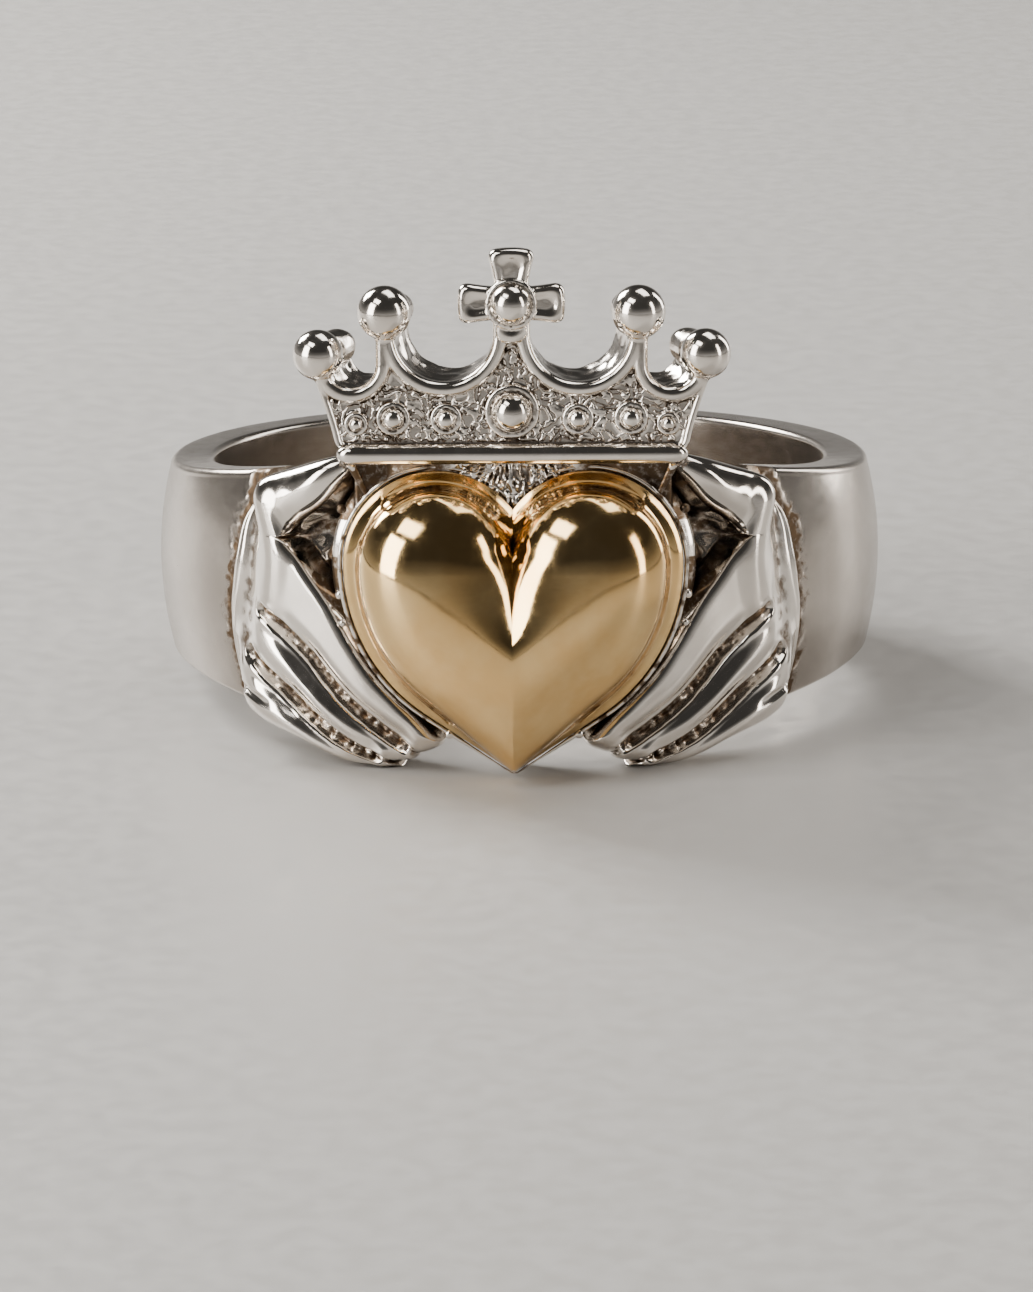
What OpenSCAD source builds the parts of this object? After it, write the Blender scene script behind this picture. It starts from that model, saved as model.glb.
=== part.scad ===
// Ring with two hands that hold a crowned heart.
// It lies on its side on a surface: +Z is up and the heart faces -Y.
// Lengths are in millimetres and angles in degrees.
// Each form is drawn about the finger axis, and pose() then lays the whole ring down.

/* [Band] */
// Radius of the finger hole
bore_r = 10; // [8:0.1:12]
// Wall of the band halfway up
band_wall = 1.85; // [1.6:0.05:2.3]
// Wall of the band at its two rims
rim_wall = 1.42; // [1.1:0.02:1.56]
// Height of the band behind the finger
back_h = 6.3; // [5.4:0.1:7.4]
// Height of the band where the cuffs cover it
cuff_h = 7.9; // [7.6:0.1:8.4]

/* [Hands] */
// Angle from the heart's middle round to the cuff seam
cuff_angle = 49; // [46:0.5:52]
// Reach of the finger tips below mid height
finger_drop = 5.3; // [4.9:0.05:5.6]
// Reach of the thumbs above mid height
thumb_rise = 4.8; // [4.6:0.05:5]
// Wall of a hand at its knuckles
hand_wall = 2.5; // [2.3:0.05:2.8]
// Step from the band up to the cuff
cuff_step = 0.15; // [0.08:0.01:0.25]
// Depth of the grooves between fingers
groove_depth = 0.5; // [0.3:0.05:0.7]
// Width of the flat floor of a groove
groove_w = 0.16; // [0.08:0.01:0.24]
// Wall under the hollow between thumb and fingers
hollow_wall = 1.15; // [0.9:0.05:1.3]

/* [Heart] */
// Width of the domed face
heart_w = 9.64; // [9:0.02:10]
// Top of the lobes above mid height
heart_top = 3.87; // [3.6:0.01:4]
// Point of the heart below mid height
heart_tip = 5.08; // [4.8:0.01:5.3]
// Height of the dome above its edge
heart_puff = 1.95; // [1.2:0.05:2.6]
// Depth of the side wall below the dome
heart_side = 0.8; // [0.5:0.05:1.2]
// Spread of the side wall towards its foot
heart_flare = 0.48; // [0.2:0.02:0.6]
// Solder gap between the heart and its bed
heart_gap = 0.05; // [0.02:0.01:0.1]
// Least room between the heart's foot and a finger
hold_gap = 0.15; // [0.05:0.01:0.25]
// Front of the bed, measured from the finger hole
bed_wall = 1.65; // [1.5:0.05:1.9]

/* [Crown] */
// Half width of the crown at its foot
crown_foot = 5.45; // [5.2:0.05:5.7]
// Distance of the outer balls from the middle
outer_ball_x = 5.98; // [5.7:0.02:6.2]
// Height of the outer balls above the bar
outer_ball_rise = 3.1; // [2.9:0.05:3.4]
// Distance of the inner balls from the middle
inner_ball_x = 3.92; // [3.8:0.02:4.1]
// Height of the inner balls above the bar
inner_ball_rise = 4.4; // [4.2:0.05:4.7]
// Radius of the two outer scallops
outer_scallop_r = 0.78; // [0.65:0.01:0.85]
// Radius of the two inner scallops
inner_scallop_r = 1.55; // [1.4:0.01:1.62]
// Height of the cross above the bar
cross_rise = 4.68; // [4.5:0.02:4.9]
// Span of the cross from arm to arm
cross_w = 3.34; // [3:0.02:3.6]
// Share by which the back of the crown draws in towards the cross
crown_draw = 0.12; // [0:0.01:0.18]
// Thickness of the crown from front to back
crown_t = 1.5; // [1.2:0.05:1.8]
// Front of the crown's field, measured from the finger hole
field_wall = 2.25; // [2.05:0.05:2.5]
// Diameter of the round bar under the crown
bar_d = 0.66; // [0.5:0.02:0.76]
// Diameter of the moulding along the scallops
border_d = 0.44; // [0.3:0.02:0.56]
// Diameter of the two outer balls
outer_ball_d = 1.56; // [1.3:0.02:1.8]
// Diameter of the two inner balls
inner_ball_d = 1.68; // [1.4:0.02:1.9]
// Diameter of the ball on the cross
cross_ball_d = 1.32; // [1:0.02:1.5]
// Thickness of the cross
cross_t = 0.75; // [0.5:0.05:1]
// Diameter of the middle bead
bead_d = 1.3; // [1:0.02:1.4]
// Height of the middle bead above the bar
bead_rise = 1.3; // [1.2:0.02:1.4]
// Depth of the panels sunk into the cross
panel_depth = 0.12; // [0.05:0.01:0.2]

/* [Hidden] */
$fn = 64;
eps = 0.01;
// How far a cutting shape or a hidden root runs past the metal
past = 0.1 * bore_r;

// Band
mid_r = bore_r + band_wall;
rim_r = bore_r + rim_wall;
dome_sag = band_wall - rim_wall;
dome_r = (pow(back_h / 2, 2) + pow(dome_sag, 2)) / (2 * dome_sag);
flare = (cuff_h - back_h) / 2;
flare_run = mid_r * cos(40);
flare_r = (pow(flare_run, 2) + pow(flare, 2)) / (2 * flare);
band_end = 0.77 * cuff_angle;

// Rest: the ring stands on the two finger edges and on its rim at the back
drop_angle = 0.47 * cuff_angle;
drop_r = bore_r + 0.6 * hand_wall;
lean = atan((finger_drop - back_h / 2) / (drop_r * cos(drop_angle) + rim_r));
lift = back_h / 2 * cos(lean) + rim_r * sin(lean);

// Heart
lobe_r = 0.254 * heart_w;
lobe_x = heart_w / 2 - lobe_r;
lobe_z = heart_top - lobe_r;
side_r = 0.8155 * (lobe_z + heart_tip);
foot_point = heart_flare / 4;
bed_inset = heart_flare / 5;
bed_y = -(bore_r + bed_wall);
heart_y = bed_y - heart_gap;
edge_y = heart_y - heart_side;

// Crown: heights are measured from mid height, beside the thumbs
foot_z = thumb_rise + 0.227 * bar_d;
field_y = -(bore_r + field_wall);
bar_y = field_y - 0.12 * bar_d;
panel_w = 2 * crown_foot - bar_d;
outer_scallop_x = (outer_ball_x + inner_ball_x) / 2;
outer_scallop_rise = outer_ball_rise - 0.192 * outer_ball_d;
inner_scallop_x = (inner_ball_x + 0.084 * cross_w) / 2;
inner_scallop_rise = inner_ball_rise - 0.387 * inner_ball_d;
// Half width of the crown's end posts, and how wide the round posts are as a share of their balls
end_post_r = 0.19 * outer_ball_d;
ball_post = 0.84;

// The box of the whole ring, for its place over the origin
front_reach = max(-edge_y + heart_puff, -field_y + inner_ball_d / 2);
shift_y = (front_reach - mid_r) / 2;

// Shared functions
function mix(a, b, t) = a + (b - a) * t;
function ease(x) = let (t = min(max(x, 0), 1)) t * t * (3 - 2 * t);
function arc(c, r, a0, a1, n) = [for (i = [0 : n]) c + r * [cos(mix(a0, a1, i / n)), sin(mix(a0, a1, i / n))]];

// A smooth curve through equally spaced points
function spline(p, u) =
    let (n = len(p) - 1)
    let (k = min(floor(u * n), n - 1))
    let (t = u * n - k)
    let (a = p[max(k - 1, 0)])
    let (b = p[k])
    let (c = p[k + 1])
    let (d = p[min(k + 2, n)])
    0.5 * (2 * b + (c - a) * t + (2 * a - 5 * b + 4 * c - d) * t * t + (3 * b - a - 3 * c + d) * pow(t, 3));

// Triangles of a grid of points with the given rows and columns, seen from outside
function grid_faces(rows, cols, start = 0) = [
    for (i = [0 : rows - 2])
    for (j = [0 : cols - 2])
    for (half = [0 : 1])
    let (a = start + i * cols + j)
    half == 0 ? [a, a + 1, a + cols + 1] : [a, a + cols + 1, a + cols]
];

// Band
module band_section() {
    intersection() {
        translate([mid_r - dome_r, 0]) circle(r = dome_r, $fn = 180);
        translate([bore_r - past / 4, -cuff_h]) square([band_wall + past, 2 * cuff_h]);
    }
}

module side_shape() {
    translate([-past, -back_h / 2]) square([mid_r + 2 * past, back_h]);
    difference() {
        translate([-mid_r - past, -cuff_h]) square([mid_r + past, 2 * cuff_h]);
        for (s = [-1, 1]) translate([0, s * (back_h / 2 + flare_r)]) circle(r = flare_r, $fn = 720);
    }
}

module band() {
    color("silver") intersection() {
        rotate([0, 0, band_end - 90]) rotate_extrude(angle = 360 - 2 * band_end, $fn = 180) band_section();
        rotate([90, 0, 90]) translate([0, 0, -mid_r - past])
            linear_extrude(height = 2 * (mid_r + past)) side_shape();
    }
}

// Hand
// Lines that run over a hand from its cuff to its tips.
// Each cell is [share of cuff_angle, share of finger_drop or thumb_rise], at five places:
//   at the cuff      at the notch      past it          halfway          at the tips
HAND_LINES = [
    [[0.985, -0.71], [0.84, -0.78], [0.70, -0.86], [0.55, -0.96], [0.40, -1.00]],
    [[1.005, -0.24], [0.89, -0.34], [0.745, -0.565], [0.58, -0.80], [0.415, -0.955]],
    [[0.99, 0.04], [0.82, -0.08], [0.68, -0.30], [0.52, -0.61], [0.31, -0.89]],
    [[0.977, 0.26], [0.755, 0.405], [0.61, 0.115], [0.43, -0.39], [0.225, -0.78]],
    [[0.965, 0.46], [0.755, 0.42], [0.675, 0.52], [0.59, 0.65], [0.505, 0.87]],
    [[0.925, 0.66], [0.825, 0.79], [0.725, 0.865], [0.61, 0.94], [0.50, 0.995]]
];
// Wall of the hand from cuff to tips, as a share of hand_wall
HAND_WALL = [0.80, 0.98, 0.97, 0.95, 0.86];
// Round section of a finger: [share across the finger, share of its height]
FINGER = [
    [0, 0], [0.03, 0.45], [0.09, 0.72], [0.2, 0.92], [0.36, 1],
    [0.64, 1], [0.8, 0.92], [0.91, 0.72], [0.97, 0.45], [1, 0]
];
// Places from cuff to tips where the hand has a section
HAND_U = [
    0, 0.05, 0.12, 0.19, 0.24, 0.27, 0.30, 0.34, 0.4, 0.47,
    0.54, 0.61, 0.68, 0.75, 0.82, 0.88, 0.93, 0.96, 0.985, 1
];
// Where along the hand the grooves and the hollow begin
groove_u = 0.26;
// Bulge of a finger tip past its line, in degrees and millimetres
tip_bulge = [-1.2, -0.0075 * finger_drop];
// Share of its height that the underside of a hand keeps where it meets the finger hole
root_draft = 0.92;

hand_rows = [for (k = [0 : 4]) for (f = FINGER) [k, f[0], f[1]]];

function height(share) = share * (share < 0 ? finger_drop : thumb_rise);
function band_at(z) = mid_r - dome_r + sqrt(pow(dome_r, 2) - z * z);

// Angle from which a hand is clear of the heart's foot at height z
function clear_angle(z) = asin((half_width(z, heart_flare, foot_point) + hold_gap) / (bore_r + hand_wall));

function line_at(k, u) =
    let (p = spline(HAND_LINES[k], u))
    let (z = height(p[1]))
    [max(p[0] * cuff_angle, clear_angle(z)), z];

// Radius of the hand's skin before any groove
function skin(u, z) =
    let (cuff = band_at(z) + cuff_step)
    let (tip = sqrt(1 - pow(ease((u - 0.88) / 0.12), 2) * 0.999))
    mix(cuff, bore_r + mix(hollow_wall, spline(HAND_WALL, u) * hand_wall, tip), ease(u / 0.16));

// Radius of the foot that a finger has on one of its sides, on line k
function foot(k, u, z) =
    let (s = skin(u, z))
    let (grooved = ease((u - groove_u) / 0.05))
    k == 0 || k == 5 ? mix(s, bore_r + 0.55 * hand_wall, ease(u / 0.2))
    : k == 3 || k == 4 ? mix(s, min(s, bore_r + hollow_wall), grooved)
    : mix(s, max(s - groove_depth, bore_r + hollow_wall), grooved);

function hand_point(row, u) =
    let (k = row[0])
    let (hollow = k == 3)
    let (side = hollow ? 0 : groove_w / 2)
    let (low = line_at(k, u))
    let (high = line_at(k + 1, u))
    let (span = max(norm([(high[0] - low[0]) * bore_r * PI / 180, high[1] - low[1]]), groove_w))
    let (t = mix(side / span, 1 - side / span, row[1]))
    let (bulge = hollow || k == 4 ? [0, 0] : tip_bulge * ease((u - 0.8) / 0.2) * (1 - pow(2 * t - 1, 2)))
    let (p = mix(low, high, t) + bulge)
    let (open = ease((u - groove_u) / 0.05))
    let (top = hollow ? mix(skin(u, p[1]), min(skin(u, p[1]), bore_r + hollow_wall), open) : skin(u, p[1]))
    let (base = foot(row[1] < 0.5 ? k : k + 1, u, p[1]))
    let (r = mix(base, top, row[2]))
    [r * sin(p[0]), -r * cos(p[0]), p[1]];

// The skin's border, run once round, and its foot on a flat inside the finger hole
function border(rows, cols) = concat(
    [for (j = [0 : cols - 1]) j],
    [for (i = [1 : rows - 1]) i * cols + cols - 1],
    [for (j = [cols - 2 : -1 : 0]) (rows - 1) * cols + j],
    [for (i = [rows - 2 : -1 : 1]) i * cols]
);

module hand(side) {
    rows = len(hand_rows);
    cols = len(HAND_U);
    skin_points = [for (row = hand_rows) for (u = HAND_U) hand_point(row, u)];
    rim = border(rows, cols);
    middle = 0.65 * cuff_angle;
    out = [sin(middle), -cos(middle), 0];
    inside = bore_r * cos(0.5 * cuff_angle);
    root_points = [for (i = rim) let (p = skin_points[i]) let (flat = [p[0], p[1], 0])
        flat * inside / (flat * out) + [0, 0, p[2] * root_draft]];
    n = rows * cols;
    m = len(rim);
    faces = concat(
        grid_faces(rows, cols),
        [for (i = [0 : m - 1]) for (half = [0 : 1]) let (j = (i + 1) % m)
            half == 0 ? [rim[i], n + i, n + j] : [rim[i], n + j, rim[j]]],
        [[for (i = [m - 1 : -1 : 0]) n + i]]
    );
    color("silver") mirror([side < 0 ? 1 : 0, 0, 0]) polyhedron(concat(skin_points, root_points), faces);
}

// Heart
// Steps of the outline round a lobe and down its side
top_steps = 18;
side_steps = 9;

// The side arc's middle, the heart's point, the slope between them and where the arc meets the
// straight part, for an outline spread outward by off and its point by tip_off
function side_arc(off, tip_off) =
    let (c = [heart_w / 2 - side_r, lobe_z])
    let (tip = [0, -heart_tip - tip_off])
    let (way = c - tip)
    let (beta = atan2(way[1], way[0]) - asin((side_r + off) / norm(way)))
    [c, tip, beta, tip + sqrt(way * way - pow(side_r + off, 2)) * [cos(beta), sin(beta)]];

// Half of the outline, from the cleft round to the point, spread outward by off
function heart_half(off, tip_off = 0) =
    let (lr = lobe_r + off)
    let (sr = side_r + off)
    let (side = side_arc(off, tip_off))
    let (c = side[0])
    let (tip = side[1])
    let (beta = side[2])
    let (q = side[3])
    concat(
        arc([lobe_x, lobe_z], lr, acos(-lobe_x / lr), 0, top_steps),
        [for (i = [1 : side_steps]) c + sr * [cos((beta - 90) * i / side_steps), sin((beta - 90) * i / side_steps)]],
        [for (i = [1 : 6]) mix(q, tip, i / 6)]
    );

function both_halves(h) = concat(h, [for (i = [len(h) - 2 : -1 : 1]) [-h[i][0], h[i][1]]]);

// Shares from the lobe's crown, or from the crease, out to the edge
HEART_Q = [0, 0.12, 0.25, 0.38, 0.5, 0.61, 0.71, 0.80, 0.875, 0.93, 0.97, 1];
// Steps along the crease above the place where both crests meet, and below it
upper_steps = 6;
lower_steps = 4;
// Share of the way from the lobes' middle to the point where the crests meet
crest_meet = 0.46;
// Share of that way over which the crests close in, and how far past the crease they would run
crest_run = 0.72;
crest_past = 0.14;
// Height of the crest at six even places from the lobes' middle to the point, as a share of heart_puff
CREST_H = [1, 0.985, 0.93, 0.84, 0.70, 0.5];
// Reach of the crest's inner slope at the same places, as a share of lobe_r
CREST_FALL = [1, 1.06, 1.2, 1.25, 1.1, 1];
// Roundness of the dome: power of the distance from the crest, and of what it leaves
DOME = [2.3, 0.55];

// Half width at height z, below the lobes' middle, of the outline spread outward by off
function half_width(z, off = 0, tip_off = 0) =
    let (side = side_arc(off, tip_off))
    let (c = side[0])
    let (tip = side[1])
    z > side[3][1] ? c[0] + sqrt(pow(side_r + off, 2) - pow(z - c[1], 2)) : (z - tip[1]) / tan(side[2]);

// Share of the way down from the lobes' middle to the point
function way_down(z) = min(max((lobe_z - z) / (lobe_z + heart_tip), 0), 1);

// Distance from the crest, 0 on it and 1 at the edge
function crest_share(x, z) =
    let (s = way_down(z))
    let (at = lobe_x * mix(1, -crest_past, (1 - cos(180 * min(s / crest_run, 1))) / 2))
    z >= lobe_z ? norm([x - lobe_x, z - lobe_z]) / lobe_r
    : x >= at ? (x - at) / max(half_width(z) - at, eps)
    : (at - x) / (lobe_r * spline(CREST_FALL, s));

function dome_height(x, z) =
    heart_puff * spline(CREST_H, way_down(z)) * pow(max(1 - pow(crest_share(x, z), DOME[0]), 0), DOME[1]);

function dome_point(p, on_edge) = [p[0], edge_y - (on_edge ? 0 : dome_height(p[0], p[1])), p[1]];

// Rays from the lobe's crown, first to the place where the crests meet, then up the crease and
// round the lobe; below the crown each ray runs outward from the crest or the crease
function heart_rays(half, top) =
    let (crown = [lobe_x, lobe_z])
    let (meet = [0, mix(lobe_z, -heart_tip, crest_meet)])
    let (n = upper_steps)
    let (fan = concat([for (i = [0 : n - 1]) mix(meet, half[0], i / n)], [for (i = [0 : top]) half[i]]))
    let (starts = concat([for (q = HEART_Q) mix(crown, meet, q)],
        [for (i = [1 : lower_steps - 1]) mix(meet, [0, -heart_tip], i / lower_steps)]))
    concat(
        [for (i = [0 : len(fan) - 1]) [for (q = HEART_Q) dome_point(mix(crown, fan[i], q), q == 1 && i >= n)]],
        [for (i = [1 : len(starts) - 1]) [for (q = HEART_Q) dome_point(mix(starts[i], half[top + i], q), q == 1)]]
    );

// A triangle of the right half, or its mirror image
function turned(side, t) = side > 0 ? t : [t[2], t[1], t[0]];

module heart() {
    half = heart_half(0, 0);
    foot_line = heart_half(heart_flare, foot_point);
    rays = heart_rays(half, top_steps);
    n = len(rays);
    m = len(HEART_Q);
    k = len(half);
    fan = upper_steps + top_steps;
    right = concat([for (ray = rays) for (p = ray) p], [dome_point(half[k - 1], true)]);
    tip = len(right) - 1;
    count = len(right);
    points = concat(
        right, [for (p = right) [-p[0], p[1], p[2]]],
        [for (p = foot_line) [p[0], heart_y, p[1]]], [for (p = foot_line) [-p[0], heart_y, p[1]]]
    );
    // Both halves share the crease, the point and the ends of the foot
    at = function (side, i, j)
        let (i0 = j == 0 && i <= fan ? 0 : i)
        let (crease = i >= n || (j == m - 1 && i <= upper_steps) || (j == 0 && i > fan + m - 2))
        (side > 0 || crease ? 0 : count) + (i >= n ? tip : i0 * m + j);
    // The start of a ray below the crown is a point of the ray that runs to the meeting place
    start = function (side, i) i <= fan ? at(side, 0, 0) : i - fan < m ? at(side, 0, i - fan) : at(side, i, 0);
    node_at = function (side, i, j) j == 0 ? start(side, i) : at(side, i, j);
    edge_at = function (side, e) at(side, upper_steps + e, m - 1);
    foot_at = function (side, e) 2 * count + (side > 0 || e == 0 || e == k - 1 ? 0 : k) + e;
    faces = [for (side = [-1, 1]) each concat(
        [for (i = [0 : fan - 1]) turned(side, [start(side, 0), at(side, i, 1), at(side, i + 1, 1)])],
        [for (i = [0 : fan - 1]) for (j = [1 : m - 2]) each [
            turned(side, [at(side, i, j), at(side, i, j + 1), at(side, i + 1, j + 1)]),
            turned(side, [at(side, i, j), at(side, i + 1, j + 1), at(side, i + 1, j)])]],
        [for (i = [fan : n - 2]) for (j = [0 : m - 2]) each [
            turned(side, [node_at(side, i, j), node_at(side, i, j + 1), node_at(side, i + 1, j + 1)]),
            turned(side, [node_at(side, i, j), node_at(side, i + 1, j + 1), node_at(side, i + 1, j)])]],
        [for (j = [0 : m - 2]) turned(side, [node_at(side, n - 1, j), node_at(side, n - 1, j + 1), tip])],
        [for (e = [0 : k - 2]) each [
            turned(side, [edge_at(side, e), foot_at(side, e), foot_at(side, e + 1)]),
            turned(side, [edge_at(side, e), foot_at(side, e + 1), edge_at(side, e + 1)])]]
    )];
    back = concat([for (e = [0 : k - 1]) foot_at(1, e)], [for (e = [k - 2 : -1 : 1]) foot_at(-1, e)]);
    color("gold") polyhedron(points, concat(faces, [[for (e = [len(back) - 1 : -1 : 0]) back[e]]]));
}

// Bed behind the heart, with the panel that carries the crown
module bed() {
    color("silver") rotate([90, 0, 0]) translate([0, 0, bore_r - 2 * past])
        linear_extrude(height = bed_wall + 2 * past) union() {
            polygon(both_halves(heart_half(heart_flare - bed_inset, foot_point - bed_inset / 2)));
            translate([-panel_w / 2, lobe_z]) square([panel_w, foot_z - lobe_z]);
        }
}

// Crown
function rest_of(list) = [for (i = [1 : len(list) - 1]) list[i]];

// Half of the crown's outline from its foot to its peak; posts stand between the scallops
function crown_half() =
    let (post_side = outer_scallop_x - outer_scallop_r)
    let (post_r = (post_side - inner_scallop_x - inner_scallop_r) / 2)
    let (end_post = outer_scallop_x + outer_scallop_r + end_post_r)
    concat(
        [[crown_foot, -bar_d / 3], [mix(crown_foot, outer_ball_x, 0.15), 0.17 * outer_ball_rise],
         [mix(crown_foot, end_post + end_post_r, 0.55), 0.46 * outer_ball_rise]],
        arc([end_post, outer_scallop_rise], end_post_r, -10, 180, 9),
        rest_of(arc([outer_scallop_x, outer_scallop_rise], outer_scallop_r, 0, -180, 16)),
        arc([post_side - post_r, inner_scallop_rise], post_r, 0, 180, 8),
        rest_of(arc([inner_scallop_x, inner_scallop_rise], inner_scallop_r, 0, -180, 22)),
        [[0.15 * cross_w, cross_rise - 0.15 * cross_w]]
    );

module crown_plate() {
    half = crown_half();
    outline = concat(half, [for (i = [len(half) - 1 : -1 : 0]) [-half[i][0], half[i][1]]]);
    translate([0, field_y, foot_z + cross_rise]) rotate([-90, 0, 0])
        linear_extrude(height = crown_t, scale = 1 - crown_draw)
            mirror([0, 1]) translate([0, -cross_rise]) polygon(outline);
}

// Block that joins the crown to the panel behind its bar
module crown_root() {
    translate([-panel_w / 2, field_y + 0.1 * crown_t, foot_z - 0.6 * bar_d])
        cube([panel_w, 0.9 * crown_t, 1.5 * bar_d]);
}

// Moulding round the lower half of a scallop
module scallop_border(x, rise, r, neck) {
    run = r + 0.4 * border_d;
    translate([x, field_y + 0.07 * border_d, foot_z + rise]) rotate([90, 0, 0]) {
        rotate([0, 0, 180]) rotate_extrude(angle = 180) translate([run, 0]) circle(d = border_d, $fn = 24);
        translate([-sign(x) * run, 0, 0]) rotate([-90, 0, 0]) cylinder(d = border_d, h = neck, $fn = 24);
    }
}

// One arm of the cross, from the middle outwards
module cross_arm(reach, root, tip, edge = 0) {
    flank = [for (t = [0 : 0.25 : 1]) [mix(root, tip, pow(t, 1.6)) - edge, mix(edge * 2.2, reach - edge, t)]];
    polygon(concat(flank, [[0, 1.03 * reach - edge]], [for (i = [4 : -1 : 0]) [-flank[i][0], flank[i][1]]]));
}

// Arms of the cross: [turn, share of cross_w that it reaches, half width of its end as such a share]
ARMS = [[0, 0.515, 0.24], [90, 0.5, 0.205], [-90, 0.5, 0.205], [180, 0.27, 0.17]];

module cross() {
    root = 0.15 * cross_w;
    inset = 0.28 * cross_ball_d;
    translate([0, field_y - cross_t / 2, foot_z + cross_rise]) rotate([90, 0, 0]) difference() {
        translate([0, 0, -cross_t]) linear_extrude(height = cross_t) for (a = ARMS)
            rotate([0, 0, a[0]]) cross_arm(a[1] * cross_w, root, a[2] * cross_w);
        for (a = ARMS) if (a[0] != 180) translate([0, 0, -panel_depth]) linear_extrude(height = cross_t)
            rotate([0, 0, a[0]]) translate([0, inset])
                cross_arm(a[1] * cross_w - inset, root, a[2] * cross_w, 0.036 * cross_w);
    }
}

// Beads on the field: [share of crown_foot from the middle, share of bead_rise, share of bead_d]
BEADS = [[0, 1, 1], [0.375, 0.82, 0.52], [0.675, 0.84, 0.56], [0.885, 0.71, 0.34]];

module bead(x, rise, d) {
    translate([x, field_y, foot_z + rise]) {
        rotate([90, 0, 0]) sphere(d = d, $fn = 32);
        rotate([90, 0, 0]) translate([0, 0, -0.08 * bead_d]) cylinder(d = d * 1.3, h = 0.13 * bead_d, $fn = 32);
    }
}

// A ball with the round post that runs back from it and draws in with the crown
module ball(side, x, rise, d) {
    draw = [side * x * crown_draw, -(rise - cross_rise) * crown_draw];
    run = [-draw[0], crown_t, draw[1]];
    translate([side * x, field_y, foot_z + rise])
        rotate([0, acos(run[2] / norm(run)), atan2(run[1], run[0])]) rotate([0, 0, 180]) {
            sphere(d = d, $fn = 40);
            cylinder(d = ball_post * d, h = norm(run), $fn = 40);
        }
}

module balls(side) {
    ball(side, outer_ball_x, outer_ball_rise, outer_ball_d);
    ball(side, inner_ball_x, inner_ball_rise, inner_ball_d);
}

module foot_bar() {
    half = crown_foot - bar_d / 2;
    translate([0, bar_y, foot_z]) {
        rotate([0, 90, 0]) cylinder(d = bar_d, h = 2 * half, center = true, $fn = 32);
        for (s = [-1, 1]) translate([s * half, 0, 0]) sphere(d = bar_d, $fn = 32);
    }
}

module crown() {
    color("silver") {
        crown_plate();
        crown_root();
        foot_bar();
        cross();
        translate([0, field_y - cross_t / 2, foot_z + cross_rise])
            rotate([90, 0, 0]) sphere(d = cross_ball_d, $fn = 40);
        for (side = [-1, 1]) {
            balls(side);
            scallop_border(side * outer_scallop_x, outer_scallop_rise, outer_scallop_r,
                inner_ball_rise - inner_ball_d / 4 - outer_scallop_rise);
            scallop_border(side * inner_scallop_x, inner_scallop_rise, inner_scallop_r,
                cross_rise - cross_ball_d / 2 - inner_scallop_rise);
            for (b = BEADS) if (side > 0 || b[0] > 0)
                bead(side * b[0] * crown_foot, b[1] * bead_rise, b[2] * bead_d);
        }
    }
}

// Lays the ring down on its finger edges and the rim at its back
module pose() {
    translate([0, shift_y, lift]) rotate([-lean, 0, 0]) children();
}

module silver_ring() {
    pose() difference() {
        union() {
            band();
            for (side = [-1, 1]) hand(side);
            bed();
            crown();
        }
        translate([0, 0, -2 * cuff_h]) cylinder(r = bore_r, h = 4 * cuff_h, $fn = 180);
    }
}

module gold_heart() {
    pose() heart();
}

silver_ring();
gold_heart();
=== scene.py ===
"""Claddagh ring: satin band, two polished hands, a domed gold heart and a beaded crown.

Forms are worked out in millimetres about the finger's axis: +Z runs along the finger and the
heart faces -Y. laid_down() then turns them into the frame's metres, as part.scad's pose() does.
"""
import math

import bmesh
import bpy
import numpy as np
from mathutils import Matrix, Vector


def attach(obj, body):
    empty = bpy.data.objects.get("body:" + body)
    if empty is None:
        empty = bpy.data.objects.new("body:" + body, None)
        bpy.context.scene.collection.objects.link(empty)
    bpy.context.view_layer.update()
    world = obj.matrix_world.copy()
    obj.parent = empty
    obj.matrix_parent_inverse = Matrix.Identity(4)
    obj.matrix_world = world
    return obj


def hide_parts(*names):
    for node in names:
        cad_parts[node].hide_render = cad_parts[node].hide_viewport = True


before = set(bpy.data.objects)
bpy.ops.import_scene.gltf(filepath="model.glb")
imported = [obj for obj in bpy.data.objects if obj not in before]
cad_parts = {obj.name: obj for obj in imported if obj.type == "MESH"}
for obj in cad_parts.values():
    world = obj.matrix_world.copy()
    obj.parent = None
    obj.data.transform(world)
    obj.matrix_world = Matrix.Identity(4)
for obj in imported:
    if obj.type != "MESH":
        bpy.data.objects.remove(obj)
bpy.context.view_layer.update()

MM = 0.001

# Band
BORE_R = 10.0
BAND_WALL = 1.85
RIM_WALL = 1.42
BACK_H = 6.3
CUFF_H = 7.9
MID_R = BORE_R + BAND_WALL
RIM_R = BORE_R + RIM_WALL

# Hands
CUFF_ANGLE = 49.0
FINGER_DROP = 5.3
THUMB_RISE = 4.8
HAND_WALL = 2.5
CUFF_STEP = 0.15
HOLLOW_WALL = 1.15

# Heart
HEART_W = 9.64
HEART_TOP = 3.87
HEART_TIP = 5.08
HEART_PUFF = 1.95
HEART_SIDE = 0.8
HEART_FLARE = 0.48
HEART_GAP = 0.05
FOOT_POINT = HEART_FLARE / 4
BED_WALL = 1.65
LOBE_R = 0.254 * HEART_W
SIDE_R = 0.55 * HEART_W
LOBE_X = HEART_W / 2 - LOBE_R
LOBE_Z = HEART_TOP - LOBE_R
BED_Y = -(BORE_R + BED_WALL)
HEART_Y = BED_Y - HEART_GAP
EDGE_Y = HEART_Y - HEART_SIDE

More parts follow.
